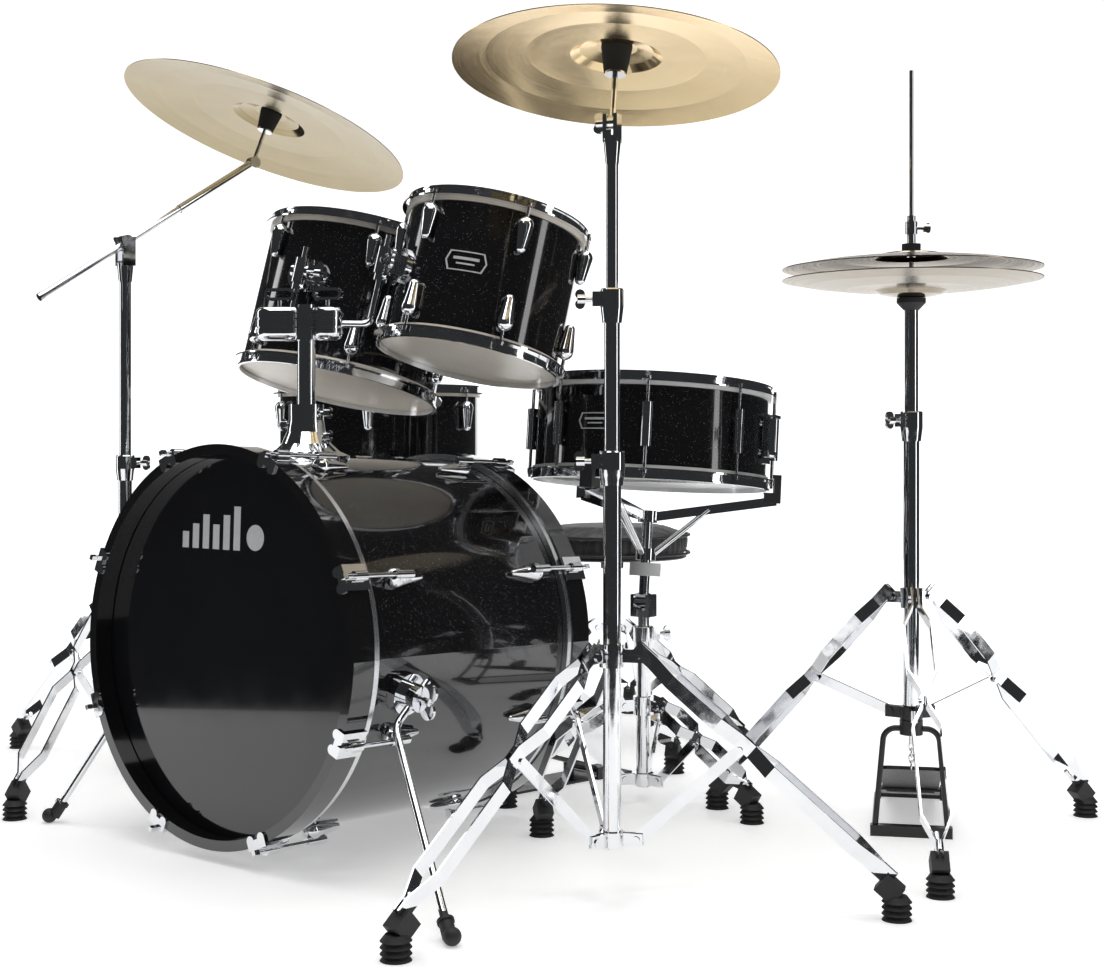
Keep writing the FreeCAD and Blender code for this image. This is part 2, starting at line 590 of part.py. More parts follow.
def make_snare():
    """Snare drum: shell, hoops, heads, tube lugs with strainer and butt plate, wires and lever."""
    make_drum("snare", "tom_wall", SNARE)
    radius = cell("snare_radius")
    half = cell("snare_depth") / 2
    place = radius + cell("tension_rod_inset")
    barrel = rod(Vector(place, 0, -32), Vector(place, 0, 32), 8.1)
    posts = [rod(Vector(radius - 4, 0, z), Vector(place, 0, z), 5.0) for z in (-22, 22)]
    lug = fused(barrel, *posts).cut(Part.makeCylinder(radius + 0.05, 200, Vector(0, 0, -100)))
    rods = tension_rods(radius, half, 8, SNARE_LUG_HEADING, 32.0)
    rods = rods + flipped(tension_rods(radius, half, 8, -SNARE_LUG_HEADING, 32.0))
    lever_x = radius + 20.5
    ears = [Part.makeBox(10.5, 3.0, 9.0, Vector(radius + 14, y, LEVER_Z - 4.5)) for y in (9.6, -12.6)]
    strainer = fused(Part.makeBox(20.0, 26.0, 74.0, Vector(radius - 4, -13.0, -42.0)), *ears,
                     rod(Vector(lever_x, -12, LEVER_Z), Vector(lever_x, 12, LEVER_Z), 1.6))
    butt = Part.makeBox(16.0, 26.0, 44.0, Vector(radius - 4, -13.0, -52.0))
    core = Part.makeCylinder(radius + 0.05, 300, Vector(0, 0, -150))
    strainer = strainer.cut(core).rotated(Vector(), UP, STRAINER_HEADING)
    butt = butt.cut(core).rotated(Vector(), UP, STRAINER_HEADING + 180)
    piece("snare_lugs", around(lug, 8, SNARE_LUG_HEADING) + rods + [strainer, butt], SNARE)
    head_face = -half - 0.05 - cell("film")
    wires = [Part.makeBox(300.0, 0.9, 0.9, Vector(-150.0, -19.5 + 2.0 * index, head_face - 1.1))
             for index in range(20)]
    plates = [Part.makeBox(14.0, 42.0, 1.2, Vector(x, -20.6, head_face - 1.25)) for x in (-160, 146)]
    bed = fused(*wires, *plates).rotated(Vector(), UP, STRAINER_HEADING)
    piece("snare_wires", [bed], SNARE)
    barrel = rod(Vector(lever_x, -9, LEVER_Z), Vector(lever_x, 9, LEVER_Z), 4.0)
    lever_arm = Part.makeBox(5.0, 16.0, 58.0, Vector(lever_x - 2.5, -8.0, LEVER_Z))
    lever_tip = Part.makeBox(14.0, 18.0, 5.0, Vector(lever_x - 2.5, -9.0, LEVER_Z + 53))
    bore = rod(Vector(lever_x, -10, LEVER_Z), Vector(lever_x, 10, LEVER_Z), 1.68)
    lever = fused(barrel, lever_arm, lever_tip).cut(bore).rotated(Vector(), UP, STRAINER_HEADING)
    piece("snare_throw_off", [lever], SNARE)


# ---------------------------------------------------------------- flat-strap tripods
EAR_REACH = 30.0
FOOT_TOP = 52.0
PIN_RADIUS = 2.6
PIN_HALF = 5.9


def leg_frame(collar_z, foot_radius):
    """A leg's pivot at the collar, its unit direction in the XZ plane and its strap length."""
    top = Vector(EAR_REACH, 0, collar_z)
    low = Vector(foot_radius - 12.0, 0, FOOT_TOP - 12.0)
    along = low - top
    length = along.Length
    return top, along.normalize(), length


def strap_pair(top, along, length, stations):
    """Two mirrored straps through (share of length, half gap) stations, in the XZ plane's direction."""
    thickness, width = (cell("strap_thickness"), cell("strap_width"))
    solids = []
    for side in (1, -1):
        inner = [Vector(share * length, side * gap, 0) for share, gap in stations]
        outer = [Vector(share * length, side * (gap + thickness), 0) for share, gap in reversed(stations)]
        strap = slab(inner + outer, width)
        strap.translate(Vector(0, 0, -width / 2))
        across = along.cross(Vector(0, 1, 0))
        strap.Placement = Placement(top, Rotation(along, Vector(0, 1, 0), across, "XYZ"))
        solids.append(strap)
    return solids


def rubber_foot(foot_radius, along):
    """A slanted rubber block on a stack of round fins standing on the floor."""
    middle = foot_radius - 2.0
    height = cell("foot_height")
    radius = cell("foot_radius")
    fins = []
    for level in range(4):
        low = level * 7.0
        fins.append(Part.makeCone(radius + 2.5, radius - 3.0, 7.0, Vector(middle, 0, low)))
    sleeve = Part.makeBox(26.0, 22.0, 24.0, Vector(-13.0, -11.0, -12.0))
    sleeve.Placement = Placement(Vector(middle - 8.0, 0, height - 6.0),
                                 Rotation(along, Vector(0, 1, 0), along.cross(Vector(0, 1, 0)), "XYZ"))
    return fused(*fins, sleeve)


def tripod_leg(collar_z, foot_radius, spread):
    """One leg of two straps, pinched at the collar, at the brace and at its rubber foot."""
    top, along, length = leg_frame(collar_z, foot_radius)
    pinch = cell("leg_pinch")
    stations = [(-0.02, 3.1), (0.05, 3.1), (0.13, spread), (pinch - 0.1, spread), (pinch - 0.02, 2.0),
                (pinch + 0.03, 2.0), (pinch + 0.11, spread), (0.86, spread), (0.95, 2.0), (1.0, 2.0)]
    straps = strap_pair(top, along, length, stations)
    foot = rubber_foot(foot_radius, along)
    core = rod(top + along * (length * 0.9), top + along * (length + 4), 3.0)
    foot = fused(foot, core)
    pin_hole = rod(top - Vector(0, 9, 0), top + Vector(0, 9, 0), PIN_RADIUS + 0.08)
    straps = [strap.cut(foot).cut(pin_hole) for strap in straps]
    rivets = [rod(top + along * (length * pinch) + Vector(0, side * 4.5, 0),
                  top + along * (length * pinch) + Vector(0, side * 7.0, 0), 4.0)
              for side in (1, -1)]
    return fused(*straps, *rivets, foot)


def tripod_brace(collar_z, bracket_z, foot_radius):
    """The flat brace from the lower bracket to the pinch of a leg."""
    top, along, length = leg_frame(collar_z, foot_radius)
    target = top + along * (length * cell("leg_pinch"))
    start = Vector(EAR_REACH, 0, bracket_z)
    run = target - start
    bar = Part.makeBox(run.Length + 4, 3.0, cell("strap_width") - 3, Vector(-2, -1.5, -7.0))
    direction = run.normalize()
    bar.Placement = Placement(start, Rotation(direction, Vector(0, 1, 0), direction.cross(Vector(0, 1, 0)),
                                              "XYZ"))
    return bar.cut(rod(start - Vector(0, 9, 0), start + Vector(0, 9, 0), PIN_RADIUS + 0.08))


def eared_ring(z, tube_radius, height, ear, slot, first):
    """A ring about a tube with three ears, each solid or, with a slot, a pair of cheeks."""
    ring = Part.makeCylinder(tube_radius + 4.5, height, Vector(0, 0, z - height / 2))
    ears = []
    for sheet_y in ((-slot / 2 - ear, slot / 2) if slot else (-ear / 2,)):
        plate = Part.makeBox(EAR_REACH - tube_radius + 6, ear, 16.0, Vector(tube_radius + 2, sheet_y, z - 8))
        ears.extend(around(plate, 3, first))
    half = slot / 2 + ear if slot else PIN_HALF
    pin = rod(Vector(EAR_REACH, -half - 1.5, z), Vector(EAR_REACH, half + 1.5, z), PIN_RADIUS)
    heads = [rod(Vector(EAR_REACH, side * half, z), Vector(EAR_REACH, side * (half + 1.8), z), 5.0)
             for side in (1, -1)]
    body = fused(ring, *ears, *around(fused(pin, *heads), 3, first))
    return body.cut(rod(Vector(0, 0, z - height), Vector(0, 0, z + height), tube_radius + 0.08))


def tripod(tube_radius, collar_z, bracket_z, foot_radius, first, top_z):
    """A fixed tripod: tube, collar, lower bracket, three legs and three braces."""
    spread = cell("leg_spread")
    solids = [pipe(Vector(0, 0, bracket_z - 12), Vector(0, 0, top_z), tube_radius, tube_radius - 1.4)]
    solids.append(eared_ring(collar_z, tube_radius, 28.0, 5.0, 0.0, first))
    solids.append(eared_ring(bracket_z, tube_radius, 18.0, 2.5, 3.8, first))
    solids.extend(around(tripod_leg(collar_z, foot_radius, spread), 3, first))
    solids.extend(around(tripod_brace(collar_z, bracket_z, foot_radius), 3, first))
    return solids


def height_clamp(z, lower_radius, upper_radius, heading):
    """The tapered sleeve at the top of a tube, with its wing bolt."""
    sleeve = turned([(lower_radius + 0.1, z - 23), (lower_radius + 2.2, z - 23), (lower_radius + 4.6, z - 4),
                     (lower_radius + 4.6, z + 17), (lower_radius + 3.6, z + 18.5),
                     (upper_radius + 0.1, z + 18.5),
                     (upper_radius + 0.1, z + 0.1), (lower_radius + 0.1, z + 0.1)])
    lug = Part.makeBox(14.0, 12.0, 18.0, Vector(lower_radius, -6.0, z - 3))
    bolt = wing_bolt(12.0, 24.0).translated(Vector(lower_radius + 10, 0, z + 6))
    body = fused(sleeve, lug, bolt)
    body = body.cut(rod(Vector(0, 0, z - 30), Vector(0, 0, z + 0.1), lower_radius + 0.1))
    body = body.cut(rod(Vector(0, 0, z), Vector(0, 0, z + 30), upper_radius + 0.1))
    return body.rotated(Vector(), UP, heading)


# ---------------------------------------------------------------- cymbals and their stands
def cymbal_outline(name, side="1 * "):
    """A cymbal's section above its edge plane, from the cells NAME_radius, _bow, _bell and _bell_rise."""
    bow, bell, rise, radius = (f"{name}_{part}" for part in ("bow", "bell", "bell_rise", "radius"))
    top = [("cymbal_hole", f"{bow} + {rise}"), (f"{bell} * 0.45", f"{bow} + {rise} * 0.9"),
           (f"{bell} * 0.8", f"{bow} + {rise} * 0.55"), (bell, bow), (f"{radius} * 0.55", f"{bow} * 0.86"),
           (f"{radius} * 0.8", f"{bow} * 0.5"), (radius, "cymbal_metal")]
    upper = [(r, f"{side}({height})") for r, height in top]
    lower = [(r, f"{side}({height} - cymbal_metal)") for r, height in reversed(top)]
    return upper + lower


def edge_below_seat(name):
    """Height of a cymbal's edge plane when its bell rests on the felt of a tilter."""
    return cell("cymbal_rise") + 5.8 - cell(name + "_bow") - cell(name + "_bell_rise")


def tilter_cap(z):
    """The stem of a cymbal tilter from z = 0 up, with washer, felts, sleeve and wing nut about height z."""
    stem = rod(Vector(0, 0, 0), Vector(0, 0, z + 34), 3.5)
    washer = rod(Vector(0, 0, z - 31), Vector(0, 0, z - 27), 13.0)
    felt = Part.makeCone(14.0, 19.0, 31.3, Vector(0, 0, z - 28))
    sleeve = rod(Vector(0, 0, z - 10), Vector(0, 0, z + 7), cell("cymbal_hole") - 0.3)
    top_felt = rod(Vector(0, 0, z + 6.1), Vector(0, 0, z + 15), 12.0)
    nut = fused(rod(Vector(0, 0, z + 14), Vector(0, 0, z + 26), 6.0),
                *[Part.makeCylinder(6.5, 4.0, Vector(x, -2.0, z + 23), Vector(0, 1, 0)) for x in (-9, 9)])
    return fused(stem, washer, felt, sleeve, top_felt, nut)


def pivot_lock(start, end, span):
    """A wing bolt along +Y whose stem runs from start to end, with its wings beyond."""
    bolt = wing_bolt(end - start, span).rotated(Vector(), UP, 90)
    return bolt.translated(Vector(0, start, 0))


CUP_DROP = 26.0


def fork(pivot, gap, cheek, width, drop):
    """The fork of a tilt pivot at height pivot: two cheeks either side of a gap, on a tapered cup."""
    low = pivot - drop
    neck = Part.makeCone(width / 2, width / 2 + 3, CUP_DROP + 4, Vector(0, 0, low - CUP_DROP))
    saddle = Part.makeBox(width, 2 * (gap + cheek), 8.0, Vector(-width / 2, -gap - cheek, low))
    sides = [Part.makeBox(width, cheek, drop + 10, Vector(-width / 2, y, low)) for y in (gap, -gap - cheek)]
    bore = rod(Vector(0, 0, pivot), Vector(0, gap + cheek + 1, pivot), 3.08)
    return fused(neck, saddle, *sides).cut(bore)


def make_straight_stand():
    """Straight cymbal stand with a tripod, two height clamps, tilter and crash cymbal."""
    base, middle, top = (cell("base_tube_radius"), cell("middle_tube_radius"), cell("top_tube_radius"))
    low, high = (cell("straight_low_clamp_z"), cell("straight_high_clamp_z"))
    stand = tripod(base, cell("straight_collar_z"), cell("straight_bracket_z"), cell("straight_foot_radius"),
                   24.1, low)
    piece("straight_stand_base", stand + [height_clamp(low, base, middle, 215)], STRAIGHT)
    lower = pipe(Vector(0, 0, low - 130), Vector(0, 0, high), middle, middle - 1.2)
    piece("straight_middle_tube", [lower, height_clamp(high, middle, top, 215)], STRAIGHT)
    pivot = cell("straight_tilter_z")
    drop = 24.0
    upper = pipe(Vector(0, 0, high - 80), Vector(0, 0, pivot - drop - CUP_DROP - 0.1), top, top - 1.2)
    heading = cell("crash_heading")
    cheeks = fork(pivot, 4.3, 5.0, 16.0, drop).rotated(Vector(), UP, heading)
    piece("straight_top_tube", [upper, cheeks], STRAIGHT)
    barrel = rod(Vector(0, -4.0, 0), Vector(0, 4.0, 0), 8.0)
    tilter = fused(barrel, tilter_cap(cell("cymbal_rise")), pivot_lock(3.5, 9.6, 26.0))
    lean = Rotation(UP, heading).multiply(Rotation(Vector(0, 1, 0), cell("crash_lean")))
    at = STRAIGHT.Base + UP * pivot
    piece("straight_tilter", [tilter], Placement(at, lean))
    edge = at + lean.multVec(UP) * edge_below_seat("crash")
    lathe("crash_cymbal", [cymbal_outline("crash")], Placement(edge, lean))


def make_boom_stand():
    """Boom cymbal stand: folding tripod, upright tube with boom clamp, boom arm and ride cymbal."""
    base, middle = (cell("base_tube_radius"), cell("middle_tube_radius"))
    low = cell("boom_clamp_z")
    first = cell("boom_leg_heading")
    collar_z, bracket_z, foot = (cell("boom_collar_z"), cell("boom_bracket_z"), cell("boom_foot_radius"))
    lower = pipe(Vector(0, 0, bracket_z - 12), Vector(0, 0, low), base, base - 1.4)
    bracket = eared_ring(bracket_z, base, 18.0, 2.5, 3.8, first)
    piece("boom_stand_base", [lower, bracket, height_clamp(low, base, middle, 20)], BOOM)
    piece("boom_stand_collar", [eared_ring(collar_z, base, 28.0, 5.0, 0.0, first)], BOOM)
    for number in range(3):
        turn = Placement(BOOM.Base, Rotation(UP, first + 120 * number))
        piece(f"boom_leg_{number + 1}", [tripod_leg(collar_z, foot, cell("leg_spread"))], turn)
        piece(f"boom_brace_{number + 1}", [tripod_brace(collar_z, bracket_z, foot)], turn)
    pivot = cell("boom_pivot_z")
    heading = cell("boom_heading")
    drop = 38.0
    tube = pipe(Vector(0, 0, low - 95), Vector(0, 0, pivot - drop - CUP_DROP - 0.1), middle, middle - 1.2)
    yoke = fork(pivot, 9.3, 5.0, 22.0, drop).rotated(Vector(), UP, heading)
    piece("boom_middle_tube", [tube, yoke], BOOM)
    turn = Rotation(UP, heading).multiply(Rotation(Vector(0, 1, 0), -cell("boom_rise")))
    reach, tail = (cell("boom_reach"), cell("boom_tail"))
    arm = fused(rod(Vector(-tail, 0, 0), Vector(reach - 8, 0, 0), 5.5),
                rod(Vector(119, 0, 0), Vector(reach - 8, 0, 0), 7.2),
                rod(Vector(-tail, 0, 0), Vector(8 - tail, 0, 0), 6.6))
    hub = rod(Vector(0, -9.0, 0), Vector(0, 9.0, 0), 13.0)
    knuckle = rod(Vector(reach, -8.0, 0), Vector(reach, 8.0, 0), 10.0)
    arm_place = Placement(BOOM.Base + UP * pivot, turn)
    lean = leaning(cell("ride_lean"), cell("ride_heading"))
    tip = arm_place.multVec(Vector(reach, 0, 0))
    stem = tilter_cap(cell("cymbal_rise")).transformed(
        arm_place.inverse().multiply(Placement(tip, lean)).toMatrix())
    piece("boom_arm", [fused(arm, hub, pivot_lock(8.5, 14.6, 28.0), knuckle, stem)], arm_place)
    edge = tip + lean.multVec(UP) * edge_below_seat("ride")
    lathe("ride_cymbal", [cymbal_outline("ride")], Placement(edge, lean))


# ---------------------------------------------------------------- hi-hat
def footboard(length, width, pitch, hinge_z):
    """A pedal board from its heel hinge at the origin's far end, rising towards the stand (-X)."""
    plate = Part.makeBox(length, width, 5.0, Vector(-length, -width / 2, 1))
    plate = plate.makeFillet(14.0, [edge for edge in plate.Edges if abs(edge.tangentAt(0).z) > 0.9])
    ribs = [Part.makeBox(3.0, width - 20, 2.0, Vector(-20.0 - 14 * index, 10 - width / 2, 5.9))
            for index in range(int((length - 30) / 14))]
    eye = rod(Vector(0, -width / 2 + 6, 0), Vector(0, width / 2 - 6, 0), 5.0)
    board = fused(plate, *ribs, eye)
    board = board.cut(rod(Vector(0, -width, 0), Vector(0, width, 0), PIN_RADIUS + 0.08))
    board.Placement = Placement(Vector(0, 0, hinge_z), Rotation(Vector(0, 1, 0), pitch))
    return board


def heel_block(width, hinge_z):
    """The heel plate on the floor with two ears and the hinge pin."""
    plate = Part.makeBox(62.0, width, 5.0, Vector(8.0, -width / 2, 0))
    ears = [Part.makeBox(20.0, 4.0, hinge_z + 6, Vector(-8.0, y, 0)) for y in (-width / 2, width / 2 - 4)]
    pin = rod(Vector(0, -width / 2, hinge_z), Vector(0, width / 2, hinge_z), PIN_RADIUS)
    return fused(plate, *ears, pin)


HINGE_Z = 14.0


def make_hi_hat():
    """Hi-hat: tripod, pedal frame, tubes, pull rod with clutch, two cymbals and footboard."""
    base, middle = (cell("base_tube_radius"), cell("middle_tube_radius"))
    clamp_z, cup_z = (cell("hat_clamp_z"), cell("hat_cup_z"))
    stand = tripod(base, cell("hat_collar_z"), cell("hat_bracket_z"), cell("hat_foot_radius"), 63.6, clamp_z)
    piece("hi_hat_base", stand + [height_clamp(clamp_z, base, middle, 250)], HAT)
    tube = pipe(Vector(0, 0, clamp_z - 150), Vector(0, 0, cup_z), middle, middle - 1.2)
    seat = cell("hat_bottom_z") - cell("hat_bow") - cell("hat_bell_rise") - 0.3
    neck = cell("cymbal_hole") - 0.3
    cup = turned([(4.0, cup_z), (middle + 1, cup_z), (20, cup_z + 10), (20, seat), (neck, seat),
                  (neck, seat + 8), (4.0, seat + 8)])
    piece("hi_hat_tube", [tube, cup], HAT)
    bottom = cell("hat_bottom_z")
    lathe("hi_hat_bottom_cymbal", [cymbal_outline("hat", "-1 * ")],
          Placement(HAT.Base + UP * bottom, Rotation()))
    top = bottom + cell("hat_gap")
    lathe("hi_hat_top_cymbal", [cymbal_outline("hat")], Placement(HAT.Base + UP * top, Rotation()))
    rod_low = cell("hat_bracket_z") - 44
    pull = rod(Vector(0, 0, rod_low), Vector(0, 0, cell("hat_rod_top_z")), cell("hat_rod_radius"))
    bell_top = top + cell("hat_bow") + cell("hat_bell_rise")
    clutch = fused(pull, rod(Vector(0, 0, bell_top - 9), Vector(0, 0, bell_top + 48), 6.0),
                   rod(Vector(0, 0, bell_top + 0.3), Vector(0, 0, bell_top + 9), 13.0),
                   rod(Vector(0, 0, bell_top + 22), Vector(0, 0, bell_top + 40), 8.5),
                   wing_bolt(16.0, 14.0).translated(Vector(0, 0, bell_top + 31)).rotated(Vector(), UP, 40))
    piece("hi_hat_rod", [clutch], HAT)
    length, width, pitch = (cell("footboard_length"), cell("footboard_width"), cell("footboard_pitch"))
    heel = HAT_PEDAL.multiply(Placement(Vector(length - 12, 0, 0), Rotation()))
    piece("hi_hat_footboard", [footboard(length, width, pitch, HINGE_Z)], heel)


def make_pedal_frames():
    """The floor frames of both pedals: the hi-hat's wire frame and the bass pedal's base with its shaft."""
    top_z = cell("hat_bracket_z") - 22
    half, shoulder = (50.0, 37.0)
    corners = [Vector(0, -half, 6), Vector(0, -shoulder, top_z),
               Vector(0, shoulder, top_z), Vector(0, half, 6)]
    arch = bent_rod(corners, 4.0, 18.0)
    foot = Part.makeBox(16.0, 2 * half + 12, 15.0, Vector(-8.0, -half - 6, 0))
    casting = Part.makeCylinder(16.0, 20.0, Vector(0, 0, top_z - 8))
    socket = rod(Vector(0, 0, top_z + 8), Vector(0, 0, top_z + 20), cell("base_tube_radius") + 0.1)
    pull_hole = rod(Vector(0, 0, top_z - 20), Vector(0, 0, top_z + 20), cell("hat_rod_radius") + 0.8)
    reach = cell("footboard_length") - 12
    rails = [rod(Vector(0, y, 5), Vector(reach, y, 5), 3.5) for y in (-half - 1, half + 1)]
    heel_plate = heel_block(cell("footboard_width") + 12, HINGE_Z).translated(Vector(reach, 0, 0))
    cross = Part.makeBox(10.0, 2 * half + 8, 6.0, Vector(reach + 2, -half - 4, 0))
    frame = fused(arch, foot, casting, *rails, heel_plate, cross).cut(socket).cut(pull_hole)
    shaft_z = cell("pedal_shaft_z")
    posts = [Part.makeBox(14.0, 14.0, shaft_z + 12, Vector(x, 6.0, 0)) for x in (-54.0, 40.0)]
    sill = Part.makeBox(108.0, 22.0, 8.0, Vector(-54.0, 2.0, 0))
    plate = Part.makeBox(70.0, 300.0, 4.0, Vector(-35.0, 6.0, 0))
    grip = Part.makeBox(50.0, 12.0, 6.0, Vector(-25.0, -6.0, 0))
    heel_end = heel_block(82.0, HINGE_Z).rotated(Vector(), UP, 90).translated(Vector(0, 270, 0))
    bores = rod(Vector(-70, 13, shaft_z), Vector(70, 13, shaft_z), 5.05)
    base = fused(*posts, sill, plate, grip, heel_end).cut(bores)
    base = base.transformed(PEDAL.toMatrix())
    piece("pedal_frames", [frame.transformed(HAT_PEDAL.toMatrix()), base], Placement())


def make_bass_pedal():
    """The bass pedal's footboard and its beater on the turning shaft."""
    board = footboard(250.0, 70.0, 17.0, HINGE_Z)
    heel = PEDAL.multiply(Placement(Vector(0, 270, 0), Rotation(UP, 90)))
    piece("bass_pedal_footboard", [board], heel)
    shaft_z = cell("pedal_shaft_z")
    reach = cell("beater_reach")
    shaft = rod(Vector(-56, 0, 0), Vector(56, 0, 0), 5.0)
    cam = Part.makeCylinder(18.0, 14.0, Vector(-7, 0, 0), Vector(1, 0, 0))
    stem = rod(Vector(0, 0, 0), Vector(0, 0, reach), 3.0)
    mallet = Part.makeCylinder(24.0, 46.0, Vector(0, -23, reach), Vector(0, 1, 0))
    mallet = mallet.makeFillet(5.0, [edge for edge in mallet.Edges if edge.Closed])
    beater = fused(shaft, cam, stem, mallet)
    back = Rotation(Vector(1, 0, 0), -42)
    place = PEDAL.multiply(Placement(Vector(0, 13, shaft_z), back))
    piece("bass_beater", [beater], place)


# ---------------------------------------------------------------- snare stand and throne
def make_snare_stand():
    """Snare stand: tripod, upper tube with tilter, and the three-armed basket."""
    base, middle = (cell("base_tube_radius"), cell("middle_tube_radius"))
    clamp_z = cell("snare_clamp_z")
    stand = tripod(base, cell("snare_collar_z"), cell("snare_bracket_z"), cell("snare_foot_radius"), 352.5,
                   clamp_z)
    piece("snare_stand_base", stand + [height_clamp(clamp_z, base, middle, 60)], SNARE_STAND)
    pivot = cell("snare_tilter_z")
    tube = pipe(Vector(0, 0, clamp_z - 130), Vector(0, 0, pivot - 22), middle, middle - 1.2)
    cheeks = [Part.makeBox(24.0, 6.0, 34.0, Vector(-12.0, y, pivot - 24)) for y in (10.3, -16.3)]
    yoke = fused(rod(Vector(0, 0, pivot - 24), Vector(0, 0, pivot - 13), 13.0), *cheeks,
                 Part.makeBox(24.0, 32.6, 10.0, Vector(-12.0, -16.3, pivot - 24)))
    yoke = yoke.cut(rod(Vector(0, 0, pivot - 60), Vector(0, 0, pivot - 22), middle))
    heading = cell("snare_heading")
    piece("snare_stand_tube", [tube, yoke.rotated(Vector(), UP, heading)], SNARE_STAND)
    half_overall = cell("snare_depth") / 2 + cell("rim_rise")
    rim_low = cell("snare_z") - half_overall
    edge = cell("snare_radius") + cell("rim_flange")
    hub_z, arm_z = (cell("snare_hub_z"), cell("snare_arm_z"))
    knuckle = rod(Vector(0, -10, pivot), Vector(0, 10, pivot), 12.0).rotated(Vector(), UP, heading)
    neck = rod(Vector(0, 0, pivot), Vector(0, 0, arm_z), 8.0)
    nut_z = cell("snare_nut_z")
    nut = rod(Vector(0, 0, nut_z - 10), Vector(0, 0, nut_z + 10), 24.0)
    hubs = [Part.makeCylinder(15.0, 18.0, Vector(0, 0, z - 9)) for z in (hub_z, arm_z)]
    solids = [knuckle, neck, nut, *hubs]
    for number in range(3):
        turn = BASKET_HEADING + 120 * number
        root = Vector(10, 0, arm_z)
        tip = Vector(edge + 6, 0, rim_low - 14)
        run = tip - root
        arm = Part.makeBox(run.Length, 8.0, 14.0, Vector(0, -4.0, -7.0))
        along = run.normalize()
        arm.Placement = Placement(root, Rotation(along, Vector(0, 1, 0), along.cross(Vector(0, 1, 0)), "XYZ"))
        strut = rod(Vector(10, 0, hub_z), root + (tip - root) * 0.45, 4.5)
        shelf = Part.makeBox(26.0, 20.0, 16.0, Vector(edge - 14, -10.0, rim_low - 18))
        claw_post = Part.makeBox(10.0, 20.0, 44.0, Vector(edge + 2, -10.0, rim_low - 18))
        lip = Part.makeBox(8.0, 20.0, 5.0, Vector(edge - 3.5, -10.0, rim_low + 21))
        for part in (arm, strut, shelf, claw_post, lip):
            solids.append(part.rotated(Vector(), UP, turn))
    basket = fused(*solids)
    keep = Part.makeCylinder(edge + 1.5, 18.0, Vector(0, 0, rim_low - 0.3))
    basket = basket.cut(keep)
    piece("snare_basket", [basket], BASKET)


def make_throne():
    """Throne: tripod with its post, and the padded round seat with its socket."""
    base = cell("base_tube_radius")
    bottom = cell("seat_bottom_z")
    solids = tripod(base, cell("throne_collar_z"), cell("throne_bracket_z"), cell("throne_foot_radius"), 0.0,
                    bottom - 2)
    piece("throne_base", solids, THRONE)
    seat = cell("seat_radius")
    cushion = Part.makeCylinder(seat, cell("seat_thickness"), Vector(0, 0, bottom))
    cushion = cushion.makeFillet(14.0, [edge for edge in cushion.Edges if edge.Closed])
    socket = Part.makeCylinder(26.0, 22.0, Vector(0, 0, bottom - 22))
    socket = socket.cut(Part.makeCylinder(base + 0.08, 22.0, Vector(0, 0, bottom - 22)))
    piece("throne_seat", [fused(cushion, socket)], THRONE)


make_bass_drum()
make_spurs()
make_tom_holder()
make_toms()
make_snare()
make_straight_stand()
make_boom_stand()
make_hi_hat()
make_pedal_frames()
make_bass_pedal()
make_snare_stand()
make_throne()
doc.recompute()

for item in doc.Objects:
    if "Invalid" in item.State or "Error" in item.State:
        raise RuntimeError(f"{item.Label} did not build: {item.State}")
for part in PARTS:
    if part.Shape.isNull() or not part.Shape.isValid() or not part.Shape.Solids:
        raise RuntimeError(f"{part.Label} has no valid solid")

os.makedirs("parts", exist_ok=True)
whole = FreeCAD.BoundBox()
for part in PARTS:
    part.Shape.exportStep(os.path.join("parts", part.Label + ".step"))
    whole.add(part.Shape.BoundBox)
print(len(PARTS), "nodes, box", whole)
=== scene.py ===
"""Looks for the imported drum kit: studio, camera, materials for every CAD node and the finishing pieces."""
import json
import math

import bmesh
import bpy
from mathutils import Matrix, Vector


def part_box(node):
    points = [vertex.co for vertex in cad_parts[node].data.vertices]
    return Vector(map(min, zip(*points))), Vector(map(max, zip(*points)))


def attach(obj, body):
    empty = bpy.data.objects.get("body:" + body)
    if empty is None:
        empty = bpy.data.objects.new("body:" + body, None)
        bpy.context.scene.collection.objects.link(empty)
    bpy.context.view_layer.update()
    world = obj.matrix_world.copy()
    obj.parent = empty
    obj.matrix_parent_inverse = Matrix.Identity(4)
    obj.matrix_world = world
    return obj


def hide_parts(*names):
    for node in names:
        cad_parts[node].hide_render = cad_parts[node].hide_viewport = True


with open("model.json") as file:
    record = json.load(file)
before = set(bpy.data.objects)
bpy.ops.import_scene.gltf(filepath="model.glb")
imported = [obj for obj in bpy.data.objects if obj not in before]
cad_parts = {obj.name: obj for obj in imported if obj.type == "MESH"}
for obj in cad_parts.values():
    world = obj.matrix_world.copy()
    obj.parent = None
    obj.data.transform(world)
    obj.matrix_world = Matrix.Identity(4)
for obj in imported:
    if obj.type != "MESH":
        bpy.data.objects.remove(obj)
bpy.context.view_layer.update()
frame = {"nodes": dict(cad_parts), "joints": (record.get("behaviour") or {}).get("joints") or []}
NODES = frame["nodes"]
JOINTS = {joint["name"]: joint for joint in frame["joints"]}
UP = Vector((0, 0, 1))


# ---------------------------------------------------------------- where things are
def middle(node):
    """Centre of a CAD node's box."""
    low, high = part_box(node)
    return (low + high) / 2


def foot_of(node):
    """The point on the floor under the middle of a CAD node."""
    centre = middle(node)
    return Vector((centre.x, centre.y, 0))


def joint_frame(name):
    """Position and unit axis of a joint."""
    joint = JOINTS[name]
    return Vector(joint["pos_m"]), Vector(joint["axis"]).normalized()


def basis(axis, towards):
    """Rotation whose Z is axis and whose X leans towards a direction."""
    z = axis.normalized()
    x = (towards - z * towards.dot(z)).normalized()
    y = z.cross(x)
    return Matrix((x, y, z)).transposed().to_4x4()


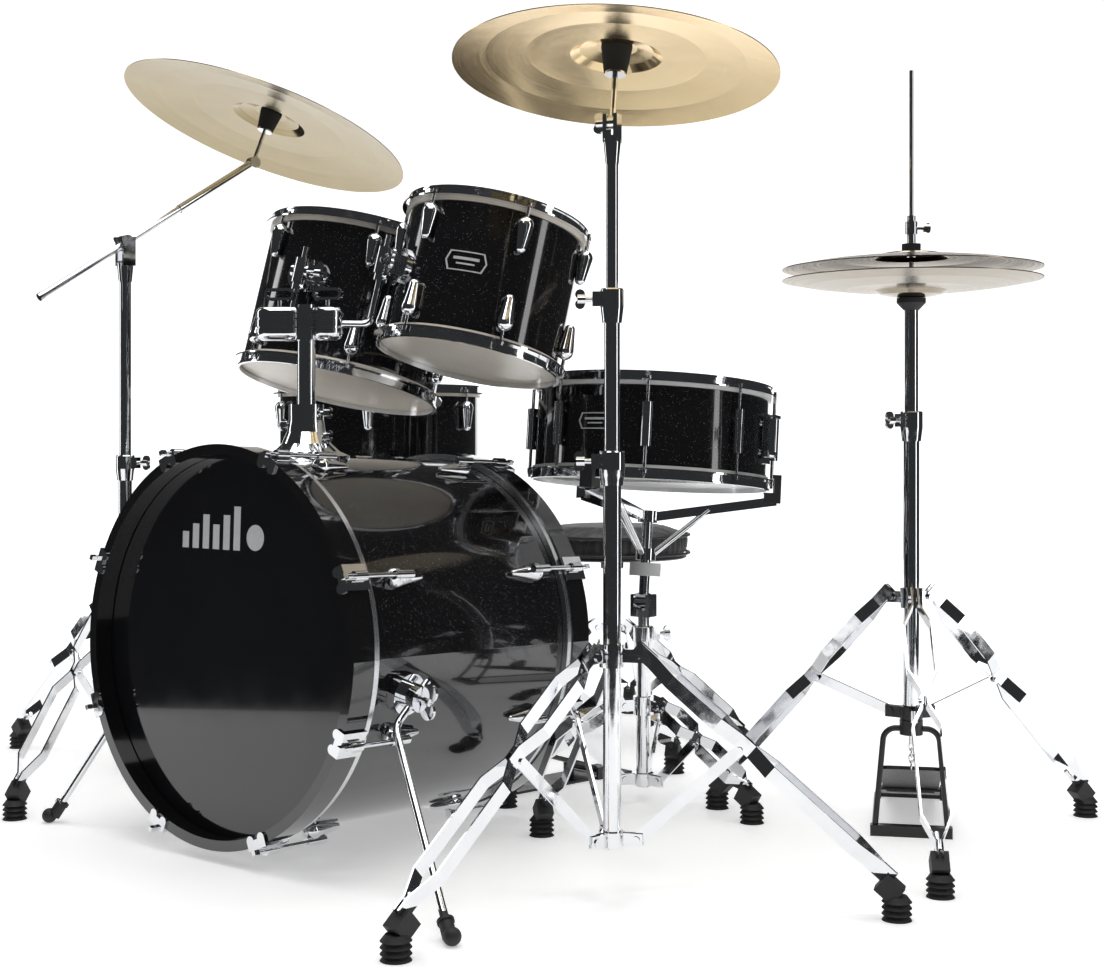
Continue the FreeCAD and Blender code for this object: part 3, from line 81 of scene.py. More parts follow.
BASS_TILT = math.radians(2.0)
BASS_AXIS = Vector((0, -math.cos(BASS_TILT), math.sin(BASS_TILT)))
BASS_CENTRE = middle("bass_shell")
BASS_RADIUS = 0.254
CRASH_AT, CRASH_AXIS = joint_frame("crash_spin")
RIDE_AT, RIDE_AXIS = joint_frame("ride_spin")
_, SMALL_TOM_AXIS = joint_frame("small_tom_swivel")
HAT_FLOOR = foot_of("hi_hat_rod")
HAT_FLOOR.xy = middle("hi_hat_top_cymbal").xy
SNARE_PIVOT, _ = joint_frame("snare_basket_tilt")
SNARE_FLOOR = Vector((SNARE_PIVOT.x, SNARE_PIVOT.y, 0))
SNARE_AXIS = (middle("snare_shell") - SNARE_PIVOT).normalized()
SEAT_AT, _ = joint_frame("throne_swivel")
SEAT_LOW, SEAT_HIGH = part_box("throne_seat")


# ---------------------------------------------------------------- node materials
class Look:
    """A Principled material whose sockets are fed by procedural nodes, in the object's own coordinates."""

    def __init__(self, name):
        self.material = bpy.data.materials.new(name)
        self.material.use_nodes = True
        self.tree = self.material.node_tree
        self.shader = self.tree.nodes["Principled BSDF"]
        self.place = self.tree.nodes.new("ShaderNodeTexCoord").outputs["Object"]
        self.colour = None
        self.metal = 0.0
        self.rough = 0.5
        self.heights = []

    def feed(self, socket, value):
        """Links a socket to another or gives it a constant."""
        if isinstance(value, bpy.types.NodeSocket):
            self.tree.links.new(value, socket)
        else:
            socket.default_value = value

    def math(self, operation, first, second=0.0):
        """A Math node's output."""
        made = self.tree.nodes.new("ShaderNodeMath")
        made.operation = operation
        self.feed(made.inputs[0], first)
        self.feed(made.inputs[1], second)
        return made.outputs[0]

    def vector(self, operation, first, second=(0, 0, 0), result="Vector"):
        """A Vector Math node's output."""
        made = self.tree.nodes.new("ShaderNodeVectorMath")
        made.operation = operation
        self.feed(made.inputs[0], first)
        if operation == "SCALE":
            self.feed(made.inputs["Scale"], second)
        elif len(made.inputs) > 1:
            self.feed(made.inputs[1], second)
        return made.outputs[result]

    def noise(self, scale, detail=4.0, stretch=(1, 1, 1), rough=0.55):
        """Fractal noise from 0 to 1."""
        made = self.tree.nodes.new("ShaderNodeTexNoise")
        made.inputs["Scale"].default_value = scale
        made.inputs["Detail"].default_value = detail
        made.inputs["Roughness"].default_value = rough
        self.feed(made.inputs["Vector"], self.vector("MULTIPLY", self.place, stretch))
        return made.outputs["Fac"]

    def cells(self, scale, feature="F1"):
        """Distance to the nearest cell centre."""
        made = self.tree.nodes.new("ShaderNodeTexVoronoi")
        made.feature = feature
        made.inputs["Scale"].default_value = scale
        self.feed(made.inputs["Vector"], self.place)
        return made.outputs["Distance"]

    def span(self, value, low, high, to_low=0.0, to_high=1.0, smooth=False):
        """A value mapped from one range to another, clamped."""
        made = self.tree.nodes.new("ShaderNodeMapRange")
        made.clamp = True
        if smooth:
            made.interpolation_type = "SMOOTHSTEP"
        for socket, number in zip(made.inputs, (value, low, high, to_low, to_high)):
            self.feed(socket, number)
        return made.outputs["Result"]

    def blend(self, share, first, second):
        """Two colours mixed by a share."""
        made = self.tree.nodes.new("ShaderNodeMix")
        made.data_type = "RGBA"
        for socket, value in ((made.inputs[0], share), (made.inputs[6], first), (made.inputs[7], second)):
            if isinstance(value, tuple) and len(value) == 3:
                value = (*value, 1.0)
            self.feed(socket, value)
        return made.outputs[2]

    def lerp(self, share, first, second):
        """Two numbers mixed by a share."""
        made = self.tree.nodes.new("ShaderNodeMix")
        made.data_type = "FLOAT"
        for socket, value in ((made.inputs[0], share), (made.inputs[2], first), (made.inputs[3], second)):
            self.feed(socket, value)
        return made.outputs[0]

    def polar(self, origin, axis):
        """Height along an axis and distance from it."""
        offset = self.vector("SUBTRACT", self.place, tuple(origin))
        height = self.vector("DOT_PRODUCT", offset, tuple(axis), "Value")
        along = self.tree.nodes.new("ShaderNodeVectorMath")
        along.operation = "SCALE"
        along.inputs[0].default_value = tuple(axis)
        self.feed(along.inputs["Scale"], height)
        across = self.vector("SUBTRACT", offset, along.outputs[0])
        return height, self.vector("LENGTH", across, result="Value"), across

    def zone(self, origin, axis, heights, radii=(-1.0, 10.0)):
        """1 inside a ring-shaped zone about an axis, 0 outside."""
        height, radius, _ = self.polar(origin, axis)
        inside = self.math("MULTIPLY", self.math("GREATER_THAN", height, heights[0]),
                           self.math("LESS_THAN", height, heights[1]))
        for operation, limit in (("GREATER_THAN", radii[0]), ("LESS_THAN", radii[1])):
            inside = self.math("MULTIPLY", inside, self.math(operation, radius, limit))
        return inside

    def paint(self, share, colour, metal, rough):
        """Covers what there is with another finish where share is 1."""
        self.colour = self.blend(share, self.colour, colour)
        self.metal = self.lerp(share, self.metal, metal)
        self.rough = self.lerp(share, self.rough, rough)

    def bump(self, height, depth, share=1.0):
        """Adds relief: a height from 0 to 1 worth this many metres."""
        self.heights.append((height, depth, share))

    def done(self):
        """Feeds the shader and returns the material."""
        if isinstance(self.colour, tuple):
            self.colour = (*self.colour, 1.0)
        self.feed(self.shader.inputs["Base Color"], self.colour)
        self.feed(self.shader.inputs["Metallic"], self.metal)
        self.feed(self.shader.inputs["Roughness"], self.rough)
        normal = None
        for height, depth, share in self.heights:
            made = self.tree.nodes.new("ShaderNodeBump")
            made.inputs["Distance"].default_value = depth
            made.inputs["Strength"].default_value = share
            self.feed(made.inputs["Height"], height)
            if normal is not None:
                self.feed(made.inputs["Normal"], normal)
            normal = made.outputs["Normal"]
        if normal is not None:
            self.feed(self.shader.inputs["Normal"], normal)
        return self.material


RUBBER = ((0.018, 0.018, 0.019), 0.0, 0.62)
FELT = ((0.016, 0.016, 0.017), 0.0, 0.93)
PALE_PLASTIC = ((0.62, 0.63, 0.62), 0.0, 0.38)
SATIN_RING = ((0.74, 0.75, 0.77), 1.0, 0.26)
BLACK_CASTING = ((0.014, 0.014, 0.015), 0.0, 0.34)


def chrome(name, zones=()):
    """Polished chrome plate with faint waviness and smudges, and other finishes in some zones."""
    look = Look(name)
    smudge = look.noise(22.0, 5.0)
    look.colour = look.blend(smudge, (0.70, 0.71, 0.73), (0.86, 0.87, 0.89))
    look.metal = 1.0
    look.rough = look.span(look.noise(70.0, 6.0), 0.35, 0.75, 0.035, 0.12)
    look.bump(look.noise(38.0, 2.0), 0.00022, 0.35)
    for origin, axis, heights, radii, finish in zones:
        share = look.zone(origin, axis, heights, radii)
        speck = look.noise(900.0, 3.0)
        colour = look.blend(speck, tuple(c * 0.7 for c in finish[0]), tuple(c * 1.35 for c in finish[0]))
        look.paint(share, colour, finish[1], finish[2])
    return look.done()


def lacquer(name, sparkle):
    """Deep black gloss with orange peel, faint dust and, on the shells, fine metal flakes."""
    look = Look(name)
    flakes = look.math("LESS_THAN", look.cells(520.0), 0.16)
    rare = look.math("GREATER_THAN", look.noise(260.0, 2.0), 0.56)
    flakes = look.math("MULTIPLY", look.math("MULTIPLY", flakes, rare), sparkle)
    base = look.blend(look.noise(6.0, 3.0), (0.0045, 0.0045, 0.005), (0.0085, 0.0085, 0.0095))
    look.colour = look.blend(flakes, base, (0.30, 0.31, 0.33))
    look.rough = look.span(look.noise(30.0, 5.0), 0.3, 0.8, 0.06, 0.16)
    look.bump(look.noise(420.0, 2.0), 0.00004, 0.30)
    look.shader.inputs["Coat Weight"].default_value = 1.0
    look.shader.inputs["Coat Roughness"].default_value = 0.02
    look.shader.inputs["IOR"].default_value = 1.5
    return look.done()


def bass_film(name):
    """Glossy black bass heads, with the satin counter ring outside the film."""
    look = Look(name)
    look.colour = look.blend(look.noise(5.0, 4.0), (0.004, 0.0042, 0.005), (0.010, 0.0105, 0.012))
    look.rough = look.span(look.noise(18.0, 5.0), 0.3, 0.8, 0.05, 0.13)
    look.bump(look.noise(9.0, 1.0), 0.0004, 0.25)
    look.bump(look.noise(700.0, 2.0), 0.00003, 0.3)
    ring = look.zone(BASS_CENTRE, BASS_AXIS, (-1, 1), (BASS_RADIUS + 0.0006, 1.0))
    brushed = look.blend(look.noise(300.0, 3.0), (0.62, 0.63, 0.65), (0.80, 0.81, 0.83))
    look.paint(ring, brushed, SATIN_RING[1], SATIN_RING[2])
    look.shader.inputs["Coat Weight"].default_value = 0.6
    look.shader.inputs["Coat Roughness"].default_value = 0.03
    return look.done()


def drum_film(name, warm, cool):
    """Thin translucent head film with a cloudy tone."""
    look = Look(name)
    cloud = look.noise(7.0, 6.0)
    look.colour = look.blend(look.span(cloud, 0.3, 0.75), warm, cool)
    look.rough = look.span(look.noise(160.0, 4.0), 0.3, 0.8, 0.28, 0.46)
    look.bump(look.noise(1100.0, 3.0), 0.00005, 0.5)
    look.shader.inputs["Subsurface Weight"].default_value = 0.25
    look.shader.inputs["Subsurface Radius"].default_value = (0.01, 0.008, 0.006)
    look.shader.inputs["Coat Weight"].default_value = 0.25
    look.shader.inputs["Coat Roughness"].default_value = 0.15
    return look.done()


def bronze(name, origin, axis, bell, pale, deep):
    """Lathed cymbal bronze: fine tonal grooves about the axis, a plainer bell and faint hammer marks."""
    look = Look(name)
    _, reach, across = look.polar(origin, axis)
    rings = look.span(look.math("SINE", look.math("MULTIPLY", reach, 2 * math.pi / 0.0011)), -1.0, 1.0)
    wander = look.tree.nodes.new("ShaderNodeTexNoise")
    wander.noise_dimensions = "1D"
    wander.inputs["Scale"].default_value = 260.0
    wander.inputs["Detail"].default_value = 6.0
    look.feed(wander.inputs["W"], reach)
    tone = wander.outputs["Fac"]
    middling = tuple((a + b) / 2 for a, b in zip(pale, deep))
    base = look.blend(look.span(tone, 0.2, 0.8), middling, pale)
    patina = look.span(look.noise(5.0, 4.0), 0.35, 0.8, 0.0, 0.55)
    look.colour = look.blend(patina, base, deep)
    edge = look.span(reach, bell * 0.95, bell * 1.03, 1.0, 0.0, True)
    look.colour = look.blend(look.math("MULTIPLY", edge, 0.5), look.colour, middling)
    look.metal = 1.0
    look.rough = look.lerp(edge, look.span(tone, 0.25, 0.75, 0.20, 0.27), 0.14)
    look.bump(look.noise(26.0, 1.0), 0.0006, 0.5)
    look.bump(tone, 0.00002, 0.4)
    look.bump(rings, 0.00001, 0.3)
    look.shader.inputs["Anisotropic"].default_value = 0.55
    turn = look.tree.nodes.new("ShaderNodeVectorMath")
    turn.operation = "CROSS_PRODUCT"
    turn.inputs[0].default_value = tuple(axis)
    look.feed(turn.inputs[1], across)
    world = look.tree.nodes.new("ShaderNodeVectorTransform")
    world.vector_type = "VECTOR"
    world.convert_from = "OBJECT"
    world.convert_to = "WORLD"
    look.feed(world.inputs[0], look.vector("NORMALIZE", turn.outputs[0]))
    look.feed(look.shader.inputs["Tangent"], world.outputs[0])
    return look.done()


def powder_black(name):
    """Satin black powder coat with a fine pebble and rubbed highlights."""
    look = Look(name)
    worn = look.span(look.noise(45.0, 6.0), 0.62, 0.78, 0.0, 0.5)
    look.colour = look.blend(worn, (0.012, 0.012, 0.013), (0.05, 0.05, 0.052))
    look.rough = look.span(look.noise(120.0, 4.0), 0.3, 0.8, 0.30, 0.48)
    look.bump(look.cells(900.0), 0.00006, 0.5)
    return look.done()


def board_black(name):
    """Black-coated cast pedal boards with fine grain, worn to grey in places."""
    look = Look(name)
    worn = look.span(look.noise(60.0, 6.0), 0.55, 0.8, 0.0, 0.6)
    look.colour = look.blend(worn, (0.022, 0.022, 0.024), (0.11, 0.11, 0.115))
    look.rough = look.span(look.noise(500.0, 5.0, (1, 0.15, 1)), 0.3, 0.75, 0.28, 0.46)
    look.bump(look.cells(650.0), 0.00006, 0.5)
    return look.done()


def wire_steel(name):
    """Bright drawn steel wire with a fine twist in its shine."""
    look = Look(name)
    look.colour = look.blend(look.noise(1500.0, 2.0), (0.46, 0.47, 0.49), (0.80, 0.81, 0.83))
    look.metal = 1.0
    look.rough = look.span(look.noise(800.0, 3.0), 0.3, 0.8, 0.16, 0.34)
    look.bump(look.noise(2200.0, 1.0), 0.00005, 0.6)
    return look.done()


def beater_finish(name):
    """Chrome shaft and stem with a pale felt mallet."""
    place, axis = joint_frame("bass_beater_swing")
    look = Look(name)
    fibre = look.noise(1400.0, 6.0)
    look.colour = look.blend(look.noise(22.0, 5.0), (0.70, 0.71, 0.73), (0.86, 0.87, 0.89))
    look.metal = 1.0
    look.rough = look.span(look.noise(70.0, 6.0), 0.35, 0.75, 0.04, 0.12)
    _, radius, _ = look.polar(place, axis)
    felt = look.math("GREATER_THAN", radius, 0.1195)
    look.paint(felt, look.blend(fibre, (0.50, 0.48, 0.43), (0.80, 0.78, 0.72)), 0.0, 0.92)
    look.bump(look.math("MULTIPLY", fibre, felt), 0.0004, 0.6)
    return look.done()


def vinyl(name, fold):
    """Black grained upholstery vinyl."""
    look = Look(name)
    grain = look.cells(620.0, "DISTANCE_TO_EDGE")
    crease = look.span(grain, 0.0, 0.12)
    look.colour = look.blend(look.noise(40.0, 5.0), (0.012, 0.012, 0.012), (0.030, 0.029, 0.028))
    look.rough = look.span(look.noise(140.0, 4.0), 0.3, 0.8, 0.36, 0.58)
    look.bump(crease, 0.00018, 0.6)
    look.bump(look.noise(fold, 3.0), 0.0006, 0.4)
    look.shader.inputs["Sheen Weight"].default_value = 0.15
    return look.done()


def thread_black(name):
    """Twisted black cord for piping."""
    look = Look(name)
    look.colour = look.blend(look.noise(300.0, 3.0), (0.010, 0.010, 0.010), (0.028, 0.028, 0.028))
    look.rough = look.span(look.noise(500.0, 3.0), 0.3, 0.8, 0.40, 0.60)
    look.bump(look.noise(900.0, 4.0), 0.0002, 0.6)
    return look.done()


def mark_print(name):
    """Pale satin print with a faint screen texture."""
    look = Look(name)
    look.colour = look.blend(look.noise(220.0, 4.0), (0.50, 0.51, 0.52), (0.66, 0.67, 0.68))
    look.rough = look.span(look.noise(600.0, 3.0), 0.3, 0.8, 0.30, 0.42)
    look.bump(look.noise(1200.0, 2.0), 0.00002, 0.4)
    return look.done()


def assign(material, *names):
    """Gives CAD nodes one material."""
    for name in names:
        slots = NODES[name].data.materials
        slots.clear()
        slots.append(material)


def feet(place, reach, top=0.0535):
    """The zone of a stand's rubber feet."""
    return (place, UP, (-0.01, top), (reach, 2.0), RUBBER)


assign(lacquer("shell_black", 1.0), "bass_shell", "small_tom_shell", "large_tom_shell", "floor_tom_shell",
       "snare_shell")
assign(lacquer("hoop_black", 0.0), "bass_hoops")
assign(bass_film("bass_head_black"), "bass_heads")
assign(drum_film("head_cream", (0.74, 0.67, 0.57), (0.86, 0.81, 0.73)), "small_tom_heads", "large_tom_heads",
       "floor_tom_heads")
assign(drum_film("snare_head", (0.66, 0.66, 0.65), (0.80, 0.80, 0.79)), "snare_heads")
assign(chrome("chrome_plain"), "bass_claws", "bass_lugs", "tom_holder_base", "tom_post", "tom_arm_left",
       "tom_arm_right", "small_tom_hoops", "small_tom_lugs", "large_tom_hoops", "large_tom_lugs",
       "floor_tom_hoops", "floor_tom_lugs", "snare_hoops", "snare_lugs", "snare_throw_off",
       "snare_stand_tube", "boom_stand_base", "boom_stand_collar", "boom_brace_1", "boom_brace_2",
       "boom_brace_3", "boom_middle_tube", "straight_middle_tube", "straight_top_tube")
ORIGIN = Vector((0, 0, 0))
assign(chrome("chrome_leg", [feet(ORIGIN, -1.0)]), "boom_leg_1", "boom_leg_2", "boom_leg_3")
assign(chrome("chrome_spur", [feet(ORIGIN, -1.0, 0.030)]), "spur_left", "spur_right", "floor_tom_legs")
assign(chrome("chrome_straight_base", [feet(foot_of("straight_middle_tube"), 0.12)]), "straight_stand_base")
assign(chrome("chrome_hat_base", [feet(HAT_FLOOR, 0.12),
                                  (HAT_FLOOR, UP, (0.158, 0.1825), (-1, 0.0375), BLACK_CASTING)]),
       "hi_hat_base")
assign(chrome("chrome_snare_base", [feet(SNARE_FLOOR, 0.12)]), "snare_stand_base")
assign(chrome("chrome_throne_base", [feet(Vector((SEAT_AT.x, SEAT_AT.y, 0)), 0.12)]), "throne_base")
assign(chrome("chrome_hat_tube", [(ORIGIN, UP, (0.7308, 2.0), (-1, 10), RUBBER)]), "hi_hat_tube")
BELL_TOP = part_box("hi_hat_top_cymbal")[1].z
assign(chrome("chrome_hat_rod", [(HAT_FLOOR, UP, (BELL_TOP, BELL_TOP + 0.0095), (0.0062, 1), FELT)]),
       "hi_hat_rod")
# heights of the felts along a cymbal tilter's stem and their distances from its axis
SEAT = 0.091
FELTS = (SEAT - 0.0285, SEAT + 0.0155)
FELT_REACH = (0.0037, 0.03)
assign(chrome("chrome_tilter", [
    (joint_frame("straight_tilter_tilt")[0], CRASH_AXIS, FELTS, FELT_REACH, FELT)]),
       "straight_tilter")
assign(chrome("chrome_boom_arm", [(RIDE_AT, RIDE_AXIS, FELTS, FELT_REACH, FELT)]),
       "boom_arm")
assign(chrome("chrome_basket", [(SNARE_PIVOT, SNARE_AXIS, (0.161, 1.0), (0.176, 1.0), RUBBER),
                                (SNARE_PIVOT, SNARE_AXIS, (0.0375, 0.0585), (0.0155, 0.03), PALE_PLASTIC)]),
       "snare_basket")
assign(wire_steel("snare_wire"), "snare_wires")
assign(bronze("crash_bronze", CRASH_AT, CRASH_AXIS, 0.056, (0.95, 0.76, 0.46), (0.78, 0.58, 0.30)),
       "crash_cymbal")
assign(bronze("ride_bronze", RIDE_AT, RIDE_AXIS, 0.066, (0.44, 0.37, 0.23), (0.26, 0.20, 0.11)),
       "ride_cymbal")
assign(bronze("hat_top_bronze", HAT_FLOOR, UP, 0.052, (0.42, 0.35, 0.26), (0.24, 0.18, 0.12)),
       "hi_hat_top_cymbal")
assign(bronze("hat_bottom_bronze", HAT_FLOOR, UP, 0.052, (0.36, 0.32, 0.25), (0.27, 0.22, 0.16)),
       "hi_hat_bottom_cymbal")
assign(powder_black("pedal_black"), "pedal_frames")
assign(board_black("footboard_black"), "hi_hat_footboard", "bass_pedal_footboard")
assign(beater_finish("beater_finish"), "bass_beater")


# ---------------------------------------------------------------- mesh pieces
def as_piece(name, mesh, material, body):
    """An object made from a finished bmesh with one material, riding on a body."""
    data = bpy.data.meshes.new(name)
    mesh.to_mesh(data)
    mesh.free()
    data.materials.append(material)
    made = bpy.data.objects.new(name, data)
    bpy.context.scene.collection.objects.link(made)
    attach(made, body)
    return made


def smooth(made, angle=40.0):
    """Smooth shading with sharp edges above an angle."""
    for face in made.data.polygons:
        face.use_smooth = True
    made.data.set_sharp_from_angle(angle=math.radians(angle))


def ring_tube(mesh, path, radius, sides=10, closed=True):
    """A tube of this radius along a list of points."""
    rings = []
    count = len(path)
    for index, point in enumerate(path):
        before = path[index - 1] if closed or index else point
        after = path[(index + 1) % count] if closed or index < count - 1 else point
        along = (after - before).normalized()
        side = along.cross(UP)
        if side.length < 0.05:
            side = along.cross(Vector((1, 0, 0)))
        side.normalize()
        other = along.cross(side).normalized()
        rings.append([mesh.verts.new(point + (side * math.cos(a) + other * math.sin(a)) * radius)
                      for a in (2 * math.pi * k / sides for k in range(sides))])
    last = count if closed else count - 1
    for index in range(last):
        one, two = rings[index], rings[(index + 1) % count]
        for k in range(sides):
            mesh.faces.new((one[k], one[(k + 1) % sides], two[(k + 1) % sides], two[k]))
    if not closed:
        mesh.faces.new(list(reversed(rings[0])))
        mesh.faces.new(rings[-1])
    bmesh.ops.recalc_face_normals(mesh, faces=mesh.faces)


def spun(mesh, profile, place, segments=64, wave=None):
    """A closed turned form from (radius, height) points about place's Z, with an optional radial wave."""
    rows = []
    for radius, height in profile:
        if radius < 1e-6:
            rows.append([mesh.verts.new(place @ Vector((0, 0, height)))])
            continue
        row = []
        for k in range(segments):
            a = 2 * math.pi * k / segments
            r = radius + (wave(a, radius, height) if wave else 0.0)
            row.append(mesh.verts.new(place @ Vector((r * math.cos(a), r * math.sin(a), height))))
        rows.append(row)
    for one, two in zip(rows, rows[1:]):
        for k in range(segments):
            n = (k + 1) % segments
            corners = [one[k % len(one)], one[n % len(one)], two[n % len(two)], two[k % len(two)]]
            unique = list(dict.fromkeys(corners))
            if len(unique) > 2:
                mesh.faces.new(unique)
    bmesh.ops.recalc_face_normals(mesh, faces=mesh.faces)


def plate(mesh, outline, place, thickness):
    """A thin plate with this flat outline, standing on place's XY plane."""
    low = [mesh.verts.new(place @ Vector((x, y, 0))) for x, y in outline]
    high = [mesh.verts.new(place @ Vector((x, y, thickness))) for x, y in outline]
    mesh.faces.new(list(reversed(low)))
    mesh.faces.new(high)
    count = len(outline)
    for k in range(count):
        n = (k + 1) % count
        mesh.faces.new((low[k], low[n], high[n], high[k]))
    bmesh.ops.recalc_face_normals(mesh, faces=mesh.faces)


PRINT = mark_print("mark_print")
VINYL = vinyl("seat_vinyl", 30.0)
PIPING = thread_black("seat_piping")
CHROME = bpy.data.materials["chrome_plain"]


def head_mark():
    """A plain mark of rising bars and a dot on the front bass head."""
    front = BASS_CENTRE + BASS_AXIS * (0.203 + 0.00112)
    place = Matrix.Translation(front) @ basis(BASS_AXIS, Vector((1, 0, 0)))
    mesh = bmesh.new()
    left, base, width, gap = -0.1, 0.125, 0.013, 0.008
    for index, height in enumerate((0.022, 0.033, 0.046, 0.033, 0.046, 0.058)):
        x = left + index * (width + gap)
        outline = [(x, base), (x + width, base), (x + width, base + height), (x, base + height)]
        plate(mesh, outline, place, 0.00025)
    dot = [(0.048 + 0.017 * math.cos(a), base + 0.018 + 0.017 * math.sin(a))
           for a in (2 * math.pi * k / 40 for k in range(40))]
    plate(mesh, dot, place, 0.00025)
    return as_piece("bass_head_mark", mesh, PRINT, "kit_base")


def badge(name, node, axis, radius, heading, height, size, body):
    """A six-sided badge outline with two plain bars, curved with the shell."""
    centre = middle(node)
    facing = basis(axis, Vector((math.cos(heading), math.sin(heading), 0)))
    mesh = bmesh.new()
    half, tall = size

    def on_shell(u, v, lift):
        """The point at u round the shell and v along it, this far off its surface."""
        a = u / radius
        r = radius + lift
        return centre + facing.to_3x3() @ Vector((r * math.cos(a), r * math.sin(a), height + v))

    def strip(outer, inner, lift):
        """A raised band between two outlines, bent with the shell."""
        count = len(outer)
        steps = 6
        for k in range(count):
            n = (k + 1) % count
            for s in range(steps):
                pair = []
                for t in (s / steps, (s + 1) / steps):
                    o = [outer[k][i] + (outer[n][i] - outer[k][i]) * t for i in (0, 1)]
                    q = [inner[k][i] + (inner[n][i] - inner[k][i]) * t for i in (0, 1)]
                    pair.append([on_shell(*o, 0.0001), on_shell(*q, 0.0001), on_shell(*q, lift),
                                 on_shell(*o, lift)])
                one = [mesh.verts.new(p) for p in pair[0]]
                two = [mesh.verts.new(p) for p in pair[1]]
                for i in range(4):
                    j = (i + 1) % 4
                    mesh.faces.new((one[i], one[j], two[j], two[i]))
    shape = ((-1, 0), (-0.82, 1), (0.82, 1), (1, 0), (0.82, -1), (-0.82, -1))
    outer = [(x * half, y * tall) for x, y in shape]
    inner = [(x * (half - 0.0022), y * (tall - 0.0016)) for x, y in shape]
    strip(outer, inner, 0.0007)
    for low, high, reach in ((0.12, 0.40, 0.62), (-0.36, -0.20, 0.44)):
        bar = [(-reach * half, low * tall), (-reach * half, high * tall), (reach * half, high * tall),
               (reach * half, low * tall)]
        core = [(x * 0.96, (low + high) / 2 * tall) for x, _ in bar]
        strip(bar, core, 0.0006)
    bmesh.ops.remove_doubles(mesh, verts=mesh.verts, dist=0.00002)
    bmesh.ops.recalc_face_normals(mesh, faces=mesh.faces)
    return as_piece(name, mesh, PRINT, body)


def pull_chain():
    """The short chain between the pull rod and the footboard."""
    mesh = bmesh.new()
    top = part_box("hi_hat_rod")[0].z
    pitch = 0.0085
    for link in range(4):
        centre = HAT_FLOOR + UP * (top - pitch * (link + 0.35))
        turn = Matrix.Rotation(math.radians(34 + 90 * link), 3, "Z")
        path = []
        for k in range(20):
            a = 2 * math.pi * k / 20
            path.append(centre + turn @ Vector((0.0032 * math.cos(a), 0.0, 0.0062 * math.sin(a))))
        ring_tube(mesh, path, 0.0011, 8)
    made = as_piece("hi_hat_chain", mesh, CHROME, "hi_hat_rod")
    smooth(made)
    return made


def throne_seat():
    """The round padded seat: crowned cushion, gathered side band, two piping cords, pan and socket."""
    centre = Vector((SEAT_AT.x, SEAT_AT.y, 0))
    low = SEAT_LOW.z + 0.022
    high = SEAT_HIGH.z
    radius = (SEAT_HIGH.x - SEAT_LOW.x) / 2
    place = Matrix.Translation(centre + UP * low)
    tall = high - low
    mesh = bmesh.new()
    inset = 0.006
    profile = [(0.0, 0.004), (radius - 0.016, 0.004), (radius - inset - 0.003, 0.008),
               (radius - inset, 0.014), (radius - inset, tall - 0.018),
               (radius - inset - 0.004, tall - 0.011), (radius - 0.020, tall - 0.006),
               (radius * 0.55, tall - 0.003), (0.0, tall - 0.001)]
    spun(mesh, profile, place, 96)
    cushion = as_piece("throne_cushion", mesh, VINYL, "throne_seat")
    swell(cushion, SWELL_CAP)
    side = radius - inset * 1.6
    for vertex in cushion.data.vertices:
        offset = vertex.co - centre
        reach = math.hypot(offset.x, offset.y)
        share = max(0.0, min(1.0, (reach - side + 0.012) / 0.012))
        level = (offset.z - low) / tall
        share *= max(0.0, math.sin(math.pi * max(0.0, min(1.0, level))))
        angle = math.atan2(offset.y, offset.x)
        fold = 0.0011 * math.sin(54 * angle) + 0.0006 * math.sin(23 * angle + 1.3 + 6 * level)
        scale = 1 + share * fold / max(reach, 1e-6)
        vertex.co = centre + Vector((offset.x * scale, offset.y * scale, offset.z))
    smooth(cushion, 60)
    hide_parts("throne_seat")
    cords = bmesh.new()
    for height, reach in ((low + 0.010, radius - 0.0035), (high - 0.0135, radius - 0.0035)):
        path = [centre + Vector((reach * math.cos(a), reach * math.sin(a), height))
                for a in (2 * math.pi * k / 120 for k in range(120))]
        ring_tube(cords, path, 0.0026, 10)
    smooth(as_piece("throne_piping", cords, PIPING, "throne_seat"))
    pan = bmesh.new()
    spun(pan, [(0.0, 0.0), (radius - 0.012, 0.0), (radius - 0.008, 0.002), (radius - 0.008, 0.006),
               (radius - 0.012, 0.0075), (0.0, 0.0075)], place, 96)
    smooth(as_piece("throne_pan", pan, bpy.data.materials["pedal_black"], "throne_seat"))
    socket = bmesh.new()
    inner = 0.01115
    spun(socket, [(inner, -0.0218), (0.019, -0.0218), (0.0215, -0.0195), (0.0215, -0.008), (0.026, -0.004),
                  (0.045, -0.0025), (0.045, 0.0), (inner, 0.0)], place, 48)
    smooth(as_piece("throne_socket", socket, CHROME, "throne_seat"))


SWELL_CAP = 0.007
SWELL_VOXEL = 0.005
SWELL_PRESSURE = 4.0
SWELL_FRAMES = 20


